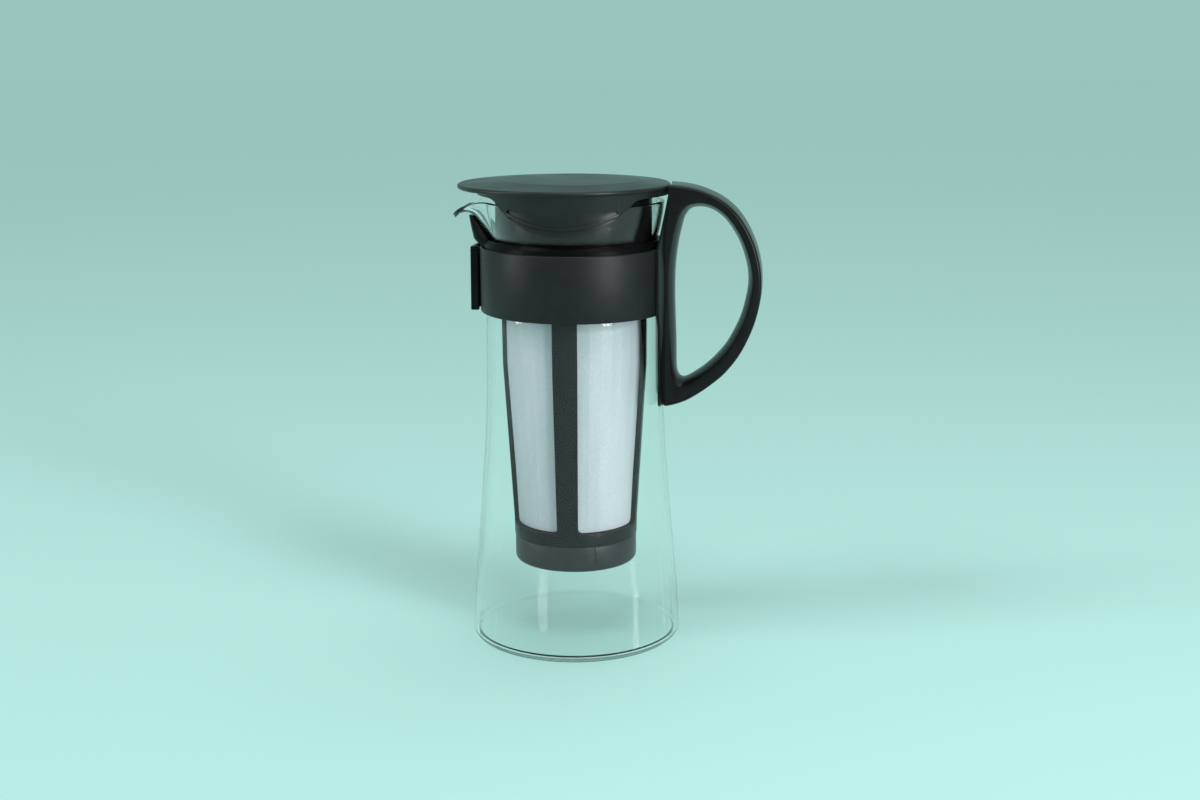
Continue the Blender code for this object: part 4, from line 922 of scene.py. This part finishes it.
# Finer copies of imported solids

def refined(node, name, body, slot, look, width):
    """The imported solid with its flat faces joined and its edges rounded."""
    bm = bmesh.new()
    bm.from_mesh(NODES[node].data)
    bmesh.ops.remove_doubles(bm, verts=bm.verts, dist=MERGE_DISTANCE)
    bmesh.ops.dissolve_limit(bm, angle_limit=SOLID_JOIN_ANGLE, verts=bm.verts, edges=bm.edges)
    piece = object_from(name, bm, look, closed=False)
    bevelled(piece, width, 2, REFINED_EDGE_ANGLE)
    applied(piece)
    smooth_with_sharp_edges(piece, FINISHED_SHARP_ANGLE)
    place(piece, body, slot, node)


def carried_over(node, look):
    target = NODES[node]
    target.data.materials.clear()
    target.data.materials.append(look)
    smooth_with_sharp_edges(target)


# Stage, lamps and camera

BACKGROUND = (0.40, 0.69, 0.64)
FAR_BACKGROUND = (0.325, 0.557, 0.520)
FILL_STRENGTH = 0.40
FLOOR_REACH = 9.0
SENSOR_WIDTH = 36.0
LAMP_AIM_HEIGHT = 0.11
SUN_DISTANCE = 3.0

# Azimuth and elevation in degrees, then the sun's width in degrees and its strength
SUNS = {
    "right_sun": (-40, 48, 20, 0.50),
    "left_sun": (-150, 46, 20, 0.60),
    "top_sun": (60, 72, 40, 0.45),
}
# Azimuth and elevation in degrees, then distance, width and height in metres, and watts
BOXES = {
    "key_strip": (-40, 14, 1.3, (0.28, 0.7), 10.0),
    "high_box": (-78, 66, 1.2, (0.45, 0.25), 3.0),
    "left_strip": (-160, 14, 1.3, (0.16, 0.7), 4.0),
}


def make_stage():
    """A plain pale floor. The world has the far floor's colour where it is seen, and is neutral
    where it lights."""
    bm = bmesh.new()
    corners = ((-1, -1), (1, -1), (1, 1), (-1, 1))
    bm.faces.new([bm.verts.new((x * FLOOR_REACH, y * FLOOR_REACH, -TOUCH_GAP)) for x, y in corners])
    look = new_material("pale_floor", BACKGROUND, 1.0, Specular_IOR_Level=0.0)[0]
    floor = object_from("studio_floor", bm, look, closed=False)
    world = bpy.data.worlds.new("studio")
    bpy.context.scene.world = world
    world.use_nodes = True
    tree = world.node_tree
    tree.nodes.clear()
    out = tree.nodes.new("ShaderNodeOutputWorld")
    seen = tree.nodes.new("ShaderNodeBackground")
    seen.inputs["Color"].default_value = (*FAR_BACKGROUND, 1.0)
    seen.inputs["Strength"].default_value = 1.0
    fill = tree.nodes.new("ShaderNodeBackground")
    fill.inputs["Color"].default_value = (1.0, 1.0, 1.0, 1.0)
    fill.inputs["Strength"].default_value = FILL_STRENGTH
    mix = tree.nodes.new("ShaderNodeMixShader")
    rays = tree.nodes.new("ShaderNodeLightPath")
    either = [tree.nodes.new("ShaderNodeMath") for ray in range(2)]
    for node in either:
        node.operation = "MAXIMUM"
    tree.links.new(rays.outputs["Is Camera Ray"], either[0].inputs[0])
    tree.links.new(rays.outputs["Is Transmission Ray"], either[0].inputs[1])
    tree.links.new(either[0].outputs[0], either[1].inputs[0])
    tree.links.new(rays.outputs["Is Glossy Ray"], either[1].inputs[1])
    tree.links.new(either[1].outputs[0], mix.inputs[0])
    tree.links.new(fill.outputs[0], mix.inputs[1])
    tree.links.new(seen.outputs[0], mix.inputs[2])
    tree.links.new(mix.outputs[0], out.inputs["Surface"])


def lamp_at(data, azimuth, elevation, distance):
    """Puts a lamp so that it looks at the middle of the jug from this direction."""
    out = Vector((cos(azimuth) * cos(elevation), sin(azimuth) * cos(elevation), sin(elevation)))
    lamp = bpy.data.objects.new(data.name, data)
    lamp.location = Vector((0, 0, LAMP_AIM_HEIGHT)) + out * distance
    lamp.rotation_mode = "QUATERNION"
    lamp.rotation_quaternion = (-out).to_track_quat("-Z", "Y")
    bpy.context.scene.collection.objects.link(lamp)


def soft_box(name, azimuth, elevation, distance, size, power):
    data = bpy.data.lights.new(name, "AREA")
    data.shape = "RECTANGLE"
    data.size, data.size_y = size
    data.energy = power
    lamp_at(data, radians(azimuth), radians(elevation), distance)


def soft_sun(name, azimuth, elevation, spread_angle, strength):
    data = bpy.data.lights.new(name, "SUN")
    data.angle = radians(spread_angle)
    data.energy = strength
    lamp_at(data, radians(azimuth), radians(elevation), SUN_DISTANCE)


def make_lamps():
    for name, values in SUNS.items():
        soft_sun(name, *values)
    for name, values in BOXES.items():
        soft_box(name, *values)


def make_camera():
    data = bpy.data.cameras.new("camera")
    data.lens = CAMERA_LENS
    data.sensor_width = SENSOR_WIDTH
    camera = bpy.data.objects.new("camera", data)
    forward = Vector(CAMERA_AIM).normalized()
    level = forward.cross(Vector((0, 0, 1))).normalized()
    above = level.cross(forward)
    right = level * cos(CAMERA_ROLL) - above * sin(CAMERA_ROLL)
    up = level * sin(CAMERA_ROLL) + above * cos(CAMERA_ROLL)
    matrix = Matrix((right, up, -forward)).transposed().to_4x4()
    matrix.translation = Vector(CAMERA_PLACE)
    camera.matrix_world = matrix
    bpy.context.scene.collection.objects.link(camera)
    bpy.context.scene.camera = camera
    bpy.context.scene.view_settings.view_transform = "Standard"


def main():
    make_camera()
    make_stage()
    make_lamps()
    make_glass()
    refined("band", "band_shell", "jug", "band", BAND_LOOK, BAND_ROUNDING)
    refined("band_clip", "clip_shell", "jug", "clip", CLIP_LOOK, CLIP_ROUNDING)
    make_liner()
    make_handle()
    make_lid()
    refined("strainer_frame", "frame_shell", "strainer", "frame", FRAME_LOOK, STRAINER_ROUNDING)
    refined("strainer_cap", "cap_shell", "cap", "cap", CAP_LOOK, STRAINER_ROUNDING)
    for corner in ("rear_right", "rear_left", "front_left", "front_right"):
        carried_over("mesh_panel_" + corner, WEAVE_LOOK)


main()
